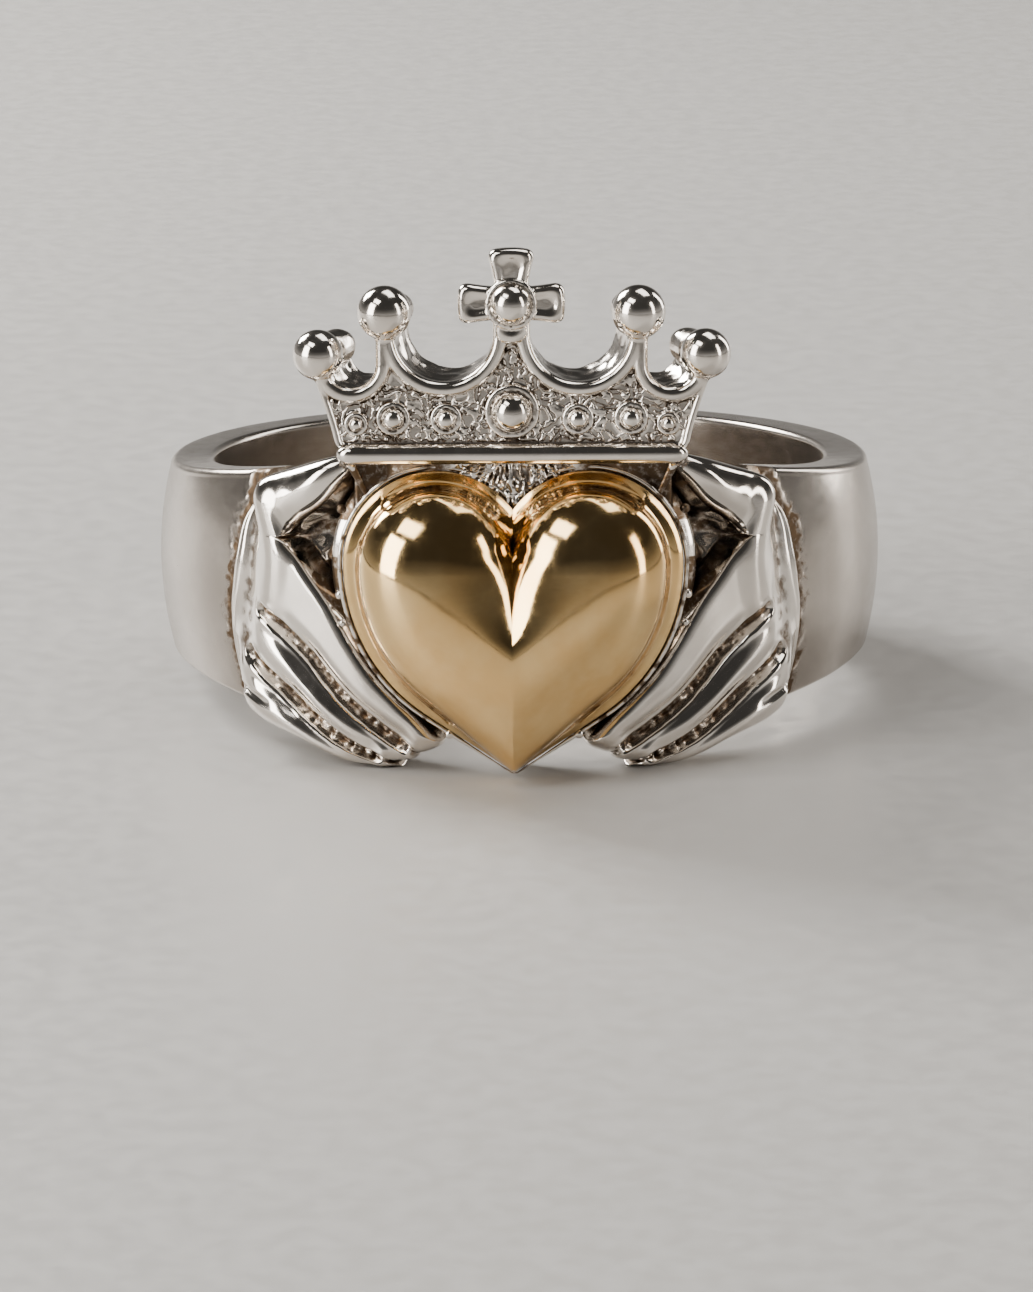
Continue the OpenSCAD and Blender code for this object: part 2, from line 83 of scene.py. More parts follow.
# Crown: heights are measured up from the middle of its bar, depths back from its field
CROWN_FOOT = 5.45
FIELD_WALL = 2.25
CROWN_T = 1.5
CROWN_DRAW = 0.12
OUTER_BALL = (5.98, 3.1, 0.78)
INNER_BALL = (3.92, 4.4, 0.84)
OUTER_SCALLOP = (4.95, 2.8, 0.78)
INNER_SCALLOP = (2.1, 3.75, 1.55)
CROSS_RISE = 4.68
CROSS_W = 3.34
CROSS_T = 0.75
CROSS_BALL_R = 0.66
BAR_R = 0.33
BORDER_R = 0.23
FOOT_Z = THUMB_RISE + 0.15
FIELD_Y = -(BORE_R + FIELD_WALL)

# How the ring lies
DROP_ANGLE = math.radians(0.47 * CUFF_ANGLE)
DROP_R = BORE_R + 0.6 * HAND_WALL
LEAN = math.atan((FINGER_DROP - BACK_H / 2) / (DROP_R * math.cos(DROP_ANGLE) + RIM_R))
LIFT = BACK_H / 2 * math.cos(LEAN) + RIM_R * math.sin(LEAN)
FRONT_REACH = max(-EDGE_Y + HEART_PUFF, -FIELD_Y + INNER_BALL[2])
SHIFT_Y = (FRONT_REACH - MID_R) / 2


# ---- numbers

def mix(a, b, t):
    return a + (b - a) * t


def ease(x):
    t = np.clip(x, 0.0, 1.0)
    return t * t * (3 - 2 * t)


def ramp(a, b, x):
    return ease((x - a) / (b - a))


def spline(points, u):
    """Smooth curve through equally spaced points; u is a number or an array."""
    p = np.asarray(points, float)
    n = len(p) - 1
    u = np.asarray(u, float)
    k = np.clip(np.floor(u * n).astype(int), 0, n - 1)
    t = (u * n - k).reshape(u.shape + (1,) * (p.ndim - 1))
    a, b = p[np.maximum(k - 1, 0)], p[k]
    c, d = p[k + 1], p[np.minimum(k + 2, n)]
    return 0.5 * (2 * b + (c - a) * t + (2 * a - 5 * b + 4 * c - d) * t * t
                  + (3 * b - a - 3 * c + d) * t ** 3)


def smooth_min(a, b, k):
    h = np.clip(0.5 + 0.5 * (b - a) / k, 0, 1)
    return mix(b, a, h) - k * h * (1 - h)


def smooth_max(a, b, k):
    return -smooth_min(-a, -b, k)


def noise(p, seed):
    """Gradient noise of points (..., 3), about -1 to 1."""
    p = np.asarray(p, float)
    base = np.floor(p).astype(np.int64)
    f = p - base
    fade = f * f * f * (f * (f * 6 - 15) + 10)
    total = 0.0
    for corner in np.ndindex(2, 2, 2):
        i, j, k = np.moveaxis(base + corner, -1, 0)
        h = (i * 374761393 + j * 668265263 + k * 2147483647 + seed * 1274126177) & 0xFFFFFFFF
        h = ((h ^ (h >> 13)) * 1274126177) & 0xFFFFFFFF
        h = h ^ (h >> 16)
        angle = (h & 0xFFFF) / 65535.0 * 2 * math.pi
        lift = ((h >> 16) & 0xFFFF) / 65535.0 * 2 - 1
        flat = np.sqrt(1 - lift * lift)
        x, y, z = np.moveaxis(f - corner, -1, 0)
        dot = x * flat * np.cos(angle) + y * flat * np.sin(angle) + z * lift
        a, b, c = np.moveaxis(np.where(corner, fade, 1 - fade), -1, 0)
        total = total + a * b * c * dot
    return total * 1.6


def length(*parts):
    return np.sqrt(sum(part * part for part in parts))


def upright(x, z, y=0.0):
    """Points (..., 3) from places x, z and a depth y, which may be one number."""
    return np.stack([x, y + 0 * x, z], -1)


def round_finger(r, a, z):
    """Points at a radius, an angle from the heart's middle and a height."""
    return np.stack([r * np.sin(a), -r * np.cos(a), z], -1)


def laid_down(points):
    """Ring millimetres to the frame's metres."""
    p = np.asarray(points, float)
    c, s = math.cos(LEAN), math.sin(LEAN)
    out = np.empty_like(p)
    out[..., 0] = p[..., 0]
    out[..., 1] = p[..., 1] * c + p[..., 2] * s + SHIFT_Y
    out[..., 2] = -p[..., 1] * s + p[..., 2] * c + LIFT
    return out * MM


# ---- meshes

# Points this close become one, and shorter edges go, in metres
MERGE = 2e-7
SPECK = 1e-8
# skin_of's pulls onto the surface, their reach and probe in cells, and the least squared slope
PULLS = 3
PULL_REACH = 0.4
SLOPE_STEP = 0.15
FLATTEST = 0.05


def add_object(name, data):
    obj = bpy.data.objects.new(name, data)
    bpy.context.scene.collection.objects.link(obj)
    return obj


def tidy_mesh(mesh):
    bm = bmesh.new()
    bm.from_mesh(mesh)
    bmesh.ops.remove_doubles(bm, verts=bm.verts, dist=MERGE)
    bmesh.ops.dissolve_degenerate(bm, edges=bm.edges, dist=SPECK)
    bmesh.ops.recalc_face_normals(bm, faces=bm.faces)
    bm.to_mesh(mesh)
    bm.free()


def piece(name, points, faces, material, sharp, darkening):
    """A mesh piece from points in ring millimetres; darkening is 0 to 1 for the first points:
    tarnish, and on the heart and the bed also painted shade.
    """
    mesh = bpy.data.meshes.new(name)
    points = np.asarray(points, float).reshape(-1, 3)
    mesh.from_pydata(laid_down(points).tolist(), [], [list(map(int, f)) for f in faces])
    recess = np.zeros(len(points), np.float32)
    recess[:darkening.size] = darkening.ravel()
    # The recess attribute carries tarnish, and on the heart and the bed also painted shade
    mesh.attributes.new("recess", "FLOAT", "POINT").data.foreach_set("value", recess)
    mesh.validate()
    obj = add_object(name, mesh)
    tidy_mesh(mesh)
    mesh.polygons.foreach_set("use_smooth", [True] * len(mesh.polygons))
    mesh.set_sharp_from_angle(angle=math.radians(sharp))
    mesh.materials.append(material)
    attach(obj, "root")
    return obj


def grid_quads(rows, cols, start=0, wrap_rows=False, wrap_cols=False):
    """Quads between neighbouring points of a grid that is stored row by row."""
    i = np.arange(rows if wrap_rows else rows - 1)
    j = np.arange(cols if wrap_cols else cols - 1)
    i, j = np.meshgrid(i, j, indexing="ij")
    i2, j2 = (i + 1) % rows, (j + 1) % cols
    quads = np.stack([i * cols + j, i * cols + j2, i2 * cols + j2, i2 * cols + j], -1)
    return quads.reshape(-1, 4) + start


def closed_sheet(front, back, keep=...):
    """Two grids of points (rows, cols, 3), joined round the cells kept."""
    rows, cols = front.shape[:2]
    n = rows * cols
    quads = grid_quads(rows, cols).reshape(rows - 1, cols - 1, 4)[keep].reshape(-1, 4)
    faces = [quads, quads[:, ::-1] + n]
    edges = np.concatenate([quads[:, [k, (k + 1) % 4]] for k in range(4)])
    _, first, count = np.unique(np.sort(edges, 1), axis=0, return_index=True, return_counts=True)
    rim = edges[first[count == 1]]
    faces.append(np.stack([rim[:, 1], rim[:, 0], rim[:, 0] + n, rim[:, 1] + n], 1))
    return np.concatenate([front.reshape(-1, 3), back.reshape(-1, 3)]), np.concatenate(faces)


def field_of(shape, axes, step, block=6):
    """Values of shape on a grid; blocks away from the surface take their middle's value."""
    middles = [np.array([a[k:k + block].mean() for k in range(0, len(a), block)]) for a in axes]
    rough = shape(*np.meshgrid(*middles, indexing="ij"))
    near = np.abs(rough) < 1.3 * block * step
    index = [np.arange(len(a)) // block for a in axes]
    d = rough[np.ix_(*index)]
    places = np.argwhere(near[np.ix_(*index)])
    d[tuple(places.T)] = shape(*[axis[k] for axis, k in zip(axes, places.T)])
    return d


def skin_of(shape, low, high, step):
    """Surface where shape(x, y, z) is zero, as points and quads."""
    low, high = np.array(low, float), np.array(high, float)
    count = np.ceil((high - low) / step).astype(int) + 1
    axes = [low[k] + step * np.arange(count[k]) for k in range(3)]
    d = field_of(shape, axes, step)
    solid = d < 0
    cells = np.zeros(tuple(count - 1), np.int8)
    for corner in np.ndindex(2, 2, 2):
        cells += solid[tuple(slice(c, n - 1 + c) for c, n in zip(corner, count))]
    active = (cells > 0) & (cells < 8)
    index = -np.ones(cells.shape, np.int64)
    index[active] = np.arange(active.sum())
    where = np.argwhere(active)
    total, hits = np.zeros((len(where), 3)), np.zeros(len(where))
    unit = np.eye(3, dtype=int)
    for axis in range(3):
        for a, b in np.ndindex(2, 2):
            p = where + a * unit[axis - 2] + b * unit[axis - 1]
            d0, d1 = d[tuple(p.T)], d[tuple((p + unit[axis]).T)]
            cross = (d0 < 0) != (d1 < 0)
            t = d0 / np.where(cross, d0 - d1, 1)
            total += cross[:, None] * (p + t[:, None] * unit[axis])
            hits += cross
    points = low + step * total / hits[:, None]
    # One quad round each edge of the grid that crosses the surface
    quads = []
    for axis in range(3):
        back, ahead = [slice(1, -1)] * 3, [slice(1, -1)] * 3
        back[axis], ahead[axis] = slice(None, -1), slice(1, None)
        s0, s1 = solid[tuple(back)], solid[tuple(ahead)]
        ring = []
        for a, b in ((0, 0), (1, 0), (1, 1), (0, 1)):
            side = [slice(None)] * 3
            side[axis - 2], side[axis - 1] = slice(a, a - 1 or None), slice(b, b - 1 or None)
            ring.append(index[tuple(side)][s0 != s1])
        quad = np.stack(ring, 1)
        flip = s1[s0 != s1]
        quad[flip] = quad[flip][:, ::-1]
        quads.append(quad)
    h = SLOPE_STEP * step
    for _ in range(PULLS):
        slope = np.stack([shape(*(points + e).T) - shape(*(points - e).T) for e in h * unit], 1)
        slope = slope / (2 * h)
        size2 = np.maximum((slope ** 2).sum(1), FLATTEST)
        move = -shape(*points.T)[:, None] * slope / size2[:, None]
        reach = np.linalg.norm(move, axis=1, keepdims=True)
        points = points + move * np.minimum(1, PULL_REACH * step / np.maximum(reach, 1e-9))
    return points, np.concatenate(quads)


# ---- materials

class Recipe:
    """Short names for the nodes that the metals share."""

    def __init__(self, name):
        self.material = bpy.data.materials.new(name)
        self.material.use_nodes = True
        self.tree = self.material.node_tree
        self.shader = self.tree.nodes["Principled BSDF"]
        self.place = self.add("TexCoord").outputs["Object"]

    def add(self, kind, inputs=(), **values):
        node = self.tree.nodes.new("ShaderNode" + kind)
        for key, value in values.items():
            setattr(node, key, value)
        for socket, value in dict(inputs).items():
            self.put(node.inputs[socket], value)
        return node

    def put(self, socket, value):
        """Sets a number, list or colour (a tuple) on a socket, or links an output to it."""
        if isinstance(value, tuple):
            socket.default_value = value + (1.0,)
        elif isinstance(value, (int, float, list)):
            socket.default_value = value
        else:
            self.tree.links.new(value, socket)

    def to(self, socket, value):
        self.put(self.shader.inputs[socket], value)

    def noise(self, size_mm, detail, rough, stretch=(1, 1, 1), distort=0.0):
        scale = [share / (size_mm * MM) for share in stretch]
        place = self.add("VectorMath", {0: self.place, 1: scale}, operation="MULTIPLY")
        return self.add("TexNoise", {
            "Vector": place.outputs[0], "Scale": 1.0, "Detail": detail, "Roughness": rough,
            "Distortion": distort}).outputs["Fac"]

    def ramp(self, value, low, high, to_low=0.0, to_high=1.0):
        return self.add("MapRange", {
            "Value": value, "From Min": low, "From Max": high, "To Min": to_low,
            "To Max": to_high}, interpolation_type="SMOOTHSTEP").outputs["Result"]

    def math(self, operation, a, b):
        return self.add("Math", {0: a, 1: b}, operation=operation).outputs[0]

    def blend(self, share, a, b):
        return self.add("Mix", {0: share, 6: a, 7: b}, data_type="RGBA").outputs[2]

    def bump(self, height, strength):
        node = self.add("Bump", {
            "Strength": strength, "Distance": BUMP_MM * MM, "Height": height})
        self.to("Normal", node.outputs[0])


# Brown that both tarnish and painted shade darken towards, and the roughness they add
TARNISH_AND_SHADE = (0.115, 0.077, 0.047)
TARNISH_AND_SHADE_ROUGH = 0.28
BUMP_MM = 0.02
SCRATCH_STRETCH = (1.0, 0.12, 7.0)
SCRATCH_BUMP = 0.35


def metal(name, bright, deep, rough, crevice, strength, grain_mm=0.5, stretch=(1, 1, 1), pits=0.0):
    """Metal with cloudy tone, uneven gloss, fine scratches, and dark tarnish and painted shade in
    its recesses and where parts meet.

    rough is (least roughness, spread); crevice is the shares of open air that count as shut and
    as open, and the reach in millimetres of that test.
    """
    r = Recipe(name)
    cloud = r.noise(2.6, 4.0, 0.6)
    fine = r.noise(grain_mm, 3.0, 0.65, stretch)
    scratch = r.noise(0.35, 2.0, 0.5, SCRATCH_STRETCH, 1.5)
    mottle = r.noise(0.22, 4.0, 0.7)
    shut_at, open_at, reach_mm = crevice
    # Painted shade and tarnish: the less open air the ambient occlusion test finds, the darker the
    # colour; the recess attribute adds to it
    air = r.add("AmbientOcclusion", {"Distance": reach_mm * MM}, samples=8).outputs["AO"]
    recess = r.add("Attribute", attribute_name="recess").outputs["Fac"]
    shut = r.math("ADD", recess, r.ramp(air, shut_at, open_at, 1.0, 0.0))
    dark = r.ramp(r.math("MULTIPLY", shut, r.ramp(mottle, 0.3, 0.6, 0.72, 1.15)), 0.25, 0.95)
    tone = r.blend(r.ramp(cloud, 0.35, 0.7), deep, bright)
    r.to("Base Color", r.blend(dark, tone, TARNISH_AND_SHADE))
    least, spread = rough
    gloss = r.math("ADD", r.ramp(fine, 0.3, 0.75, least, least + spread),
                   r.ramp(scratch, 0.62, 0.78, 0.0, 0.5 * spread))
    r.to("Roughness", r.math("ADD", gloss, r.math("MULTIPLY", dark, TARNISH_AND_SHADE_ROUGH)))
    r.to("Metallic", 1.0)
    height = r.math("ADD", fine, r.math("MULTIPLY", scratch, SCRATCH_BUMP))
    if pits:
        height = r.math("ADD", height, r.math("MULTIPLY", mottle, pits))
    r.bump(height, strength)
    return r.material


# ---- band

# Angle from the heart's middle where the band is CUFF_H high
WIDEST_AT = 40.0
# Where the band starts, as a share of CUFF_ANGLE, and how far its finer steps run
BAND_START = 0.90
FINE_RUN = 9.0
# Corners of the rim, outside and at the finger hole
OUTER_SOFT = 0.24
INNER_SOFT = 0.20
# Seam beside each cuff: width, depth and depth of its pits
SEAM_W = 0.46
SEAM_DEPTH = 0.055
SEAM_PITS = 0.04
DENT = 0.030


def band_at(z):
    """Radius of the band's domed face at height z."""
    sag = BAND_WALL - RIM_WALL
    dome_r = ((BACK_H / 2) ** 2 + sag ** 2) / (2 * sag)
    return MID_R - dome_r + np.sqrt(dome_r ** 2 - z * z)


def band_half_height(angle):
    """Half the band's height at an angle; it grows towards the cuffs."""
    flare = (CUFF_H - BACK_H) / 2
    run = MID_R * math.cos(math.radians(WIDEST_AT))
    flare_r = (run ** 2 + flare ** 2) / (2 * flare)
    front = np.maximum(MID_R * np.cos(np.radians(angle)), 0)
    return BACK_H / 2 + flare_r - np.sqrt(flare_r ** 2 - front ** 2)


def band_section(h, face, corner):
    """(radius, height) round the band where its half height is h."""
    outer = [(band_at(z), z) for z in face * (h - OUTER_SOFT)]
    middle = len(outer) // 2
    top_r = band_at(h - OUTER_SOFT) - OUTER_SOFT
    top = [(top_r + OUTER_SOFT * math.cos(c), h - OUTER_SOFT + OUTER_SOFT * math.sin(c))
           for c in corner[1:]]
    rim = [(mix(top_r, BORE_R + INNER_SOFT, t), h) for t in (0.25, 0.5, 0.75)]
    hole = [(BORE_R + INNER_SOFT - INNER_SOFT * math.sin(c),
             h - INNER_SOFT + INNER_SOFT * math.cos(c)) for c in corner]
    up = outer[middle + 1:] + top + rim + hole
    inner = [(BORE_R, z * (h - INNER_SOFT)) for z in np.linspace(1, -1, 17)[1:-1]]
    return [(r, -z) for r, z in reversed(up)] + [outer[middle]] + up + inner


def band_piece(material):
    end = BAND_START * CUFF_ANGLE
    near = np.linspace(end, end + FINE_RUN, 70)
    back = np.linspace(end + FINE_RUN, 360 - FINE_RUN - end, 190)[1:-1]
    angle = np.concatenate([near, back, (360 - near)[::-1]])
    face, corner = np.linspace(-1, 1, 121), np.radians(np.linspace(0, 90, 9))
    section = np.array([band_section(h, face, corner) for h in band_half_height(angle)])
    rows, cols = section.shape[:2]
    a = np.radians(angle)[:, None]
    r, z = section[..., 0], section[..., 1]
    points = round_finger(r, a, z)
    out = r - BORE_R
    # Unevenness, none of it outwards
    dent = (noise(points / 3.1, 3) * 0.5 + noise(points / 1.1, 4) * 0.25 - 0.75) * DENT
    # Rough dark seam beside each cuff
    folded = np.degrees(np.abs(((a + math.pi) % (2 * math.pi)) - math.pi))
    edge = hand_edge()
    away = np.radians(folded - np.interp(z, edge[:, 1], edge[:, 0])) * MID_R
    width = SEAM_W + 0.20 * noise(points * [0.9, 0.9, 1.3], 5) + 0.13 * noise(points * 3.0, 7)
    seam = 1 - ramp(0.40 * width, 1.60 * width, away)
    pitted = noise(points * [4.5, 4.5, 6.5], 8)
    move = dent - seam * (SEAM_DEPTH + SEAM_PITS * pitted)
    move = np.where(out > 0.4, move, 0) * ramp(0.4, 1.0, out)
    points[..., 0] += move * np.sin(a)
    points[..., 1] -= move * np.cos(a)
    faces = list(grid_quads(rows, cols, wrap_cols=True))
    faces += [list(range(cols))[::-1], [(rows - 1) * cols + j for j in range(cols)]]
    specks = ramp(0.20, 0.50, noise(points * 3.4, 6)) * (1 - ramp(0.4, 1.3, away))
    stain = (1 - ramp(0.2, 1.8, away)) * 0.26 * ramp(-0.3, 0.5, noise(points * [0.7, 0.7, 0.5], 9))
    darkening = np.clip(seam * (0.85 + 0.25 * pitted) + 0.45 * specks + stain, 0, 1)
    return piece("band", points, faces, material, 40, darkening * ramp(0.35, 0.9, out))


# ---- hands

# Lines over a hand from cuff to tips: shares of CUFF_ANGLE and of FINGER_DROP or THUMB_RISE.
# Strip k lies between line k and the next: three fingers, the hollow and the thumb
HAND_LINES = np.array([
    [[0.985, -0.71], [0.84, -0.78], [0.70, -0.86], [0.55, -0.96], [0.40, -1.00]],
    [[1.005, -0.24], [0.89, -0.34], [0.745, -0.565], [0.58, -0.80], [0.415, -0.955]],
    [[0.99, 0.04], [0.82, -0.08], [0.68, -0.30], [0.52, -0.61], [0.31, -0.89]],
    [[0.977, 0.26], [0.755, 0.405], [0.61, 0.115], [0.43, -0.39], [0.225, -0.78]],
    [[0.965, 0.46], [0.755, 0.42], [0.675, 0.52], [0.59, 0.65], [0.505, 0.87]],
    [[0.925, 0.66], [0.825, 0.79], [0.725, 0.865], [0.61, 0.94], [0.50, 0.995]]])
HAND_WALLS = [0.80, 0.98, 0.97, 0.95, 0.86]
LOWEST, INDEX, HOLLOW, THUMB = 0, 2, 3, 4
# Points across each strip and along a hand
STRIP_POINTS = (44, 44, 44, 26, 40)
HAND_COLS = 170
# Where the hollow opens, as a share of the way to the tips
PARTING = 0.24
# Bulge of the finger tips, in degrees and millimetres
TIP_BOW = (1.3, 0.05)
LOWEST_TIP_SUNK = 0.25

# Grooves between fingers: line, start, the valley's depth and reach, the channel's depth and half
# width, and length in millimetres
GROOVES = (
    (2, 0.255, 0.44, 0.90, 0.34, 0.165, 7.6),
    (1, 0.262, 0.42, 0.86, 0.32, 0.155, 6.6),
)
BEAD_STEP = 0.40
LIP_RISE = 0.040
DIMPLE = 0.15

# Ridge down the back of the hand: shares of CUFF_ANGLE, and heights
RIDGE = [0.84, 0.795, 0.768, 0.785]
RIDGE_SPAN = (3.6, -0.2)
RIDGE_RISE = 0.20
# Dip beside the cuff
DIP_AT = 0.905
DIP_SPAN = (2.6, -1.6)
DIP_DEPTH = 0.19
CUFF_BEAD = 0.055

# The hand's foot, just outside the finger hole
ROOT_GAP = 0.03
ROOT_DRAFT = 0.93
FLOOR_CLEARANCE = 0.005


def hand_line(k, u):
    """(angle in degrees, height) on line k at u."""
    angle, height = np.moveaxis(spline(HAND_LINES[k], u), -1, 0)
    height = height * np.where(height < 0, FINGER_DROP, THUMB_RISE)
    return np.stack([angle * CUFF_ANGLE, height], -1)


def hand_edge():
    """The cuff's edge: the first point of each line, joined smoothly."""
    corners = np.stack([hand_line(k, np.array(0.0)) for k in range(len(HAND_LINES))])
    return spline(corners, np.linspace(0, 1, 80))


def unrolled(p):
    """(angle, height) to millimetres on the flattened skin."""
    return np.stack([np.radians(p[..., 0]) * (BORE_R + HAND_WALL), p[..., 1]], -1)


def flat_line(k, start=0.0, count=90):
    """Line k from start to the tips, on the flattened skin."""
    return unrolled(hand_line(k, np.linspace(start, 1, count)))


def flat_run(angles, span):
    """Line through shares of CUFF_ANGLE and an even run of heights, on the flattened skin."""
    return unrolled(np.stack([angles * CUFF_ANGLE, np.linspace(*span, len(angles))], -1))


def to_line(p, line):
    """Distance of points (n, 2) from a polyline, and their share of the way along it."""
    a, b = line[:-1], line[1:]
    run = b - a
    t = np.clip(((p[:, None] - a) * run).sum(-1) / (run ** 2).sum(-1), 0, 1)
    gap = np.linalg.norm(p[:, None] - (a + t[..., None] * run), axis=-1)
    best = gap.argmin(1)
    rows = np.arange(len(p))
    return gap[rows, best], (best + t[rows, best]) / len(a)


def across(count):
    """Samples across a strip, closer at its edges."""
    t = np.linspace(0, 1, count)
    return 0.5 - 0.5 * np.cos(math.pi * t) * (0.55 + 0.45 * np.cos(math.pi * t) ** 2)


def edge_round(d, r):
    """How far an edge of radius r lies below its face at distance d inside it."""
    x = np.clip(1 - d / r, 0, 1)
    return r * (1 - np.sqrt(1 - x * x))


def skin_noise(flat, scale, layer, seed):
    """Noise over the flattened skin; each layer is another slice of it."""
    x, z = flat.T * scale
    return noise(np.stack([x, z, 0 * x + layer], -1), seed)


def hand_skin(u, z):
    """Radius of the hand before its fingers are cut, from cuff to tips."""
    wall = spline(HAND_WALLS, u) * HAND_WALL
    return mix(band_at(z) + CUFF_STEP, BORE_R + wall, ease(u / 0.17))


def hand_places():
    """(angle, height) over a hand, with each row's strip and the steps along it."""
    u = np.linspace(0, 1, HAND_COLS)
    u = mix(u, ease(u), 0.25)
    shares = [across(count)[min(k, 1):] for k, count in enumerate(STRIP_POINTS)]
    strips = np.repeat(np.arange(len(shares)), [len(share) for share in shares])
    shares = np.concatenate(shares)
    p = np.array([mix(hand_line(k, u), hand_line(k + 1, u), t) for k, t in zip(strips, shares)])
    fingers = strips <= INDEX
    bow = (1 - (2 * shares[fingers] - 1) ** 2)[:, None] * ease((u - 0.82) / 0.18)
    p[fingers] -= bow[..., None] * TIP_BOW
    return p, strips, u


def groove(flat, rough, ribs, line, start, valley, reach, deep, half, length):
    """How far a groove, a valley with a lipped and lumpy channel, lowers the skin; its tarnish."""
    d, along = to_line(flat, flat_line(line, start, 70))
    fade_out = 1 - ease((along - 0.86) / 0.12)
    head = 1 - ease(along / 0.30)
    lower = valley * (1 - ease(d / reach)) ** 1.3 * mix(0.15, 1, ease(along / 0.45)) * fade_out
    wide = half * (1 + 0.15 * head) * mix(1, 0.85, along) * (1 + 0.13 * rough)
    soft = mix(0.10, 0.12, head)
    beads = 0.5 + 0.5 * np.cos(2 * math.pi * (along * length / BEAD_STEP + 0.45 * rough))
    beads = beads * ramp(0.45, 0.62, along) * mix(0.5, 1.2, ramp(-0.3, 0.4, rough))
    lump = np.clip(0.30 * ribs + 0.30 * beads, -0.2, 0.6)
    lump = lump * np.exp(-(d / (0.8 * wide + 0.02)) ** 2) * ease(along / 0.2)
    cut = 1 - ramp(wide - soft, wide + soft, d)
    lower += deep * cut * mix(1.0, 0.75, head) * fade_out * (1 - lump)
    lower -= LIP_RISE * np.exp(-((d - wide - 1.1 * soft) / (0.7 * soft)) ** 2)
    floor = 1 - ramp(wide - soft, wide + 0.3 * soft, d)
    return lower, floor * (0.78 + 0.16 * head - 0.50 * np.clip(2.2 * lump, 0, 1))


def little_dimple(flat):
    """Short dimple near the lower edge, between line 0 and line 1."""
    u = np.linspace(0.13, 0.42, 30)
    line = mix(hand_line(0, u), hand_line(1, u), np.linspace(0.38, 0.44, 30)[:, None])
    d, along = to_line(flat, unrolled(line))
    return DIMPLE * (1 - ramp(0.02, 0.20, d)) * (1 - ramp(0.4, 1.0, along))


def edge_cut(flat, strip, u, ends, index, index_along, thumb):
    """How far the hand's edges and finger tips lie below its skin."""
    lower, _ = to_line(flat, flat_line(0))
    upper, _ = to_line(flat, flat_line(5))
    tips, _ = to_line(flat, ends)
    cut = edge_round(lower, 0.75) * 0.9 + edge_round(upper, 0.85) * 0.8
    cut += np.where(strip == LOWEST, LOWEST_TIP_SUNK * ramp(0.86, 1.0, u), 0)
    cut += np.where(strip <= INDEX, edge_round(tips, 0.75), 0)
    # The index finger has a flat facet towards the heart, the thumb a rounded belly
    facet = 0.22 * np.clip(mix(0.18, 0.28, ramp(0.3, 0.9, index_along)) - index, 0, 1)
    facet = (facet + edge_round(index, 0.45) * 0.75) * ramp(0.25, 0.34, u)
    belly = edge_round(thumb, 0.95) * 0.95 * ramp(0.26, 0.36, u) + edge_round(tips, 0.35) * 0.8
    return cut + np.where(strip == INDEX, facet, 0) + np.where(strip == THUMB, belly, 0)


def hollow_floor(flat, u, r, inner):
    """Radius in the hollow between thumb and index finger, and how far its floor is darkened, most
    in its low spots.
    """
    open_up = ramp(0.240, 0.275, u) * ramp(0.0, 0.14, inner)
    lumps = 0.16 * skin_noise(flat, 1.2, 9, 13) + 0.030 * skin_noise(flat, 3.6, 4, 15)
    notch = unrolled(hand_line(HOLLOW, np.array(PARTING + 0.005)))
    near_notch = np.exp(-((flat - notch) ** 2).sum(1) / 0.55 ** 2)
    floor = BORE_R + HOLLOW_WALL - 0.15 + lumps
    floor = np.minimum(r, floor + 0.35 * (1 - ramp(0.0, 0.6, inner)) + 0.9 * near_notch)
    return mix(r, floor, open_up), (0.36 + 0.5 * ramp(-0.3, 0.4, -lumps * 5)) * open_up


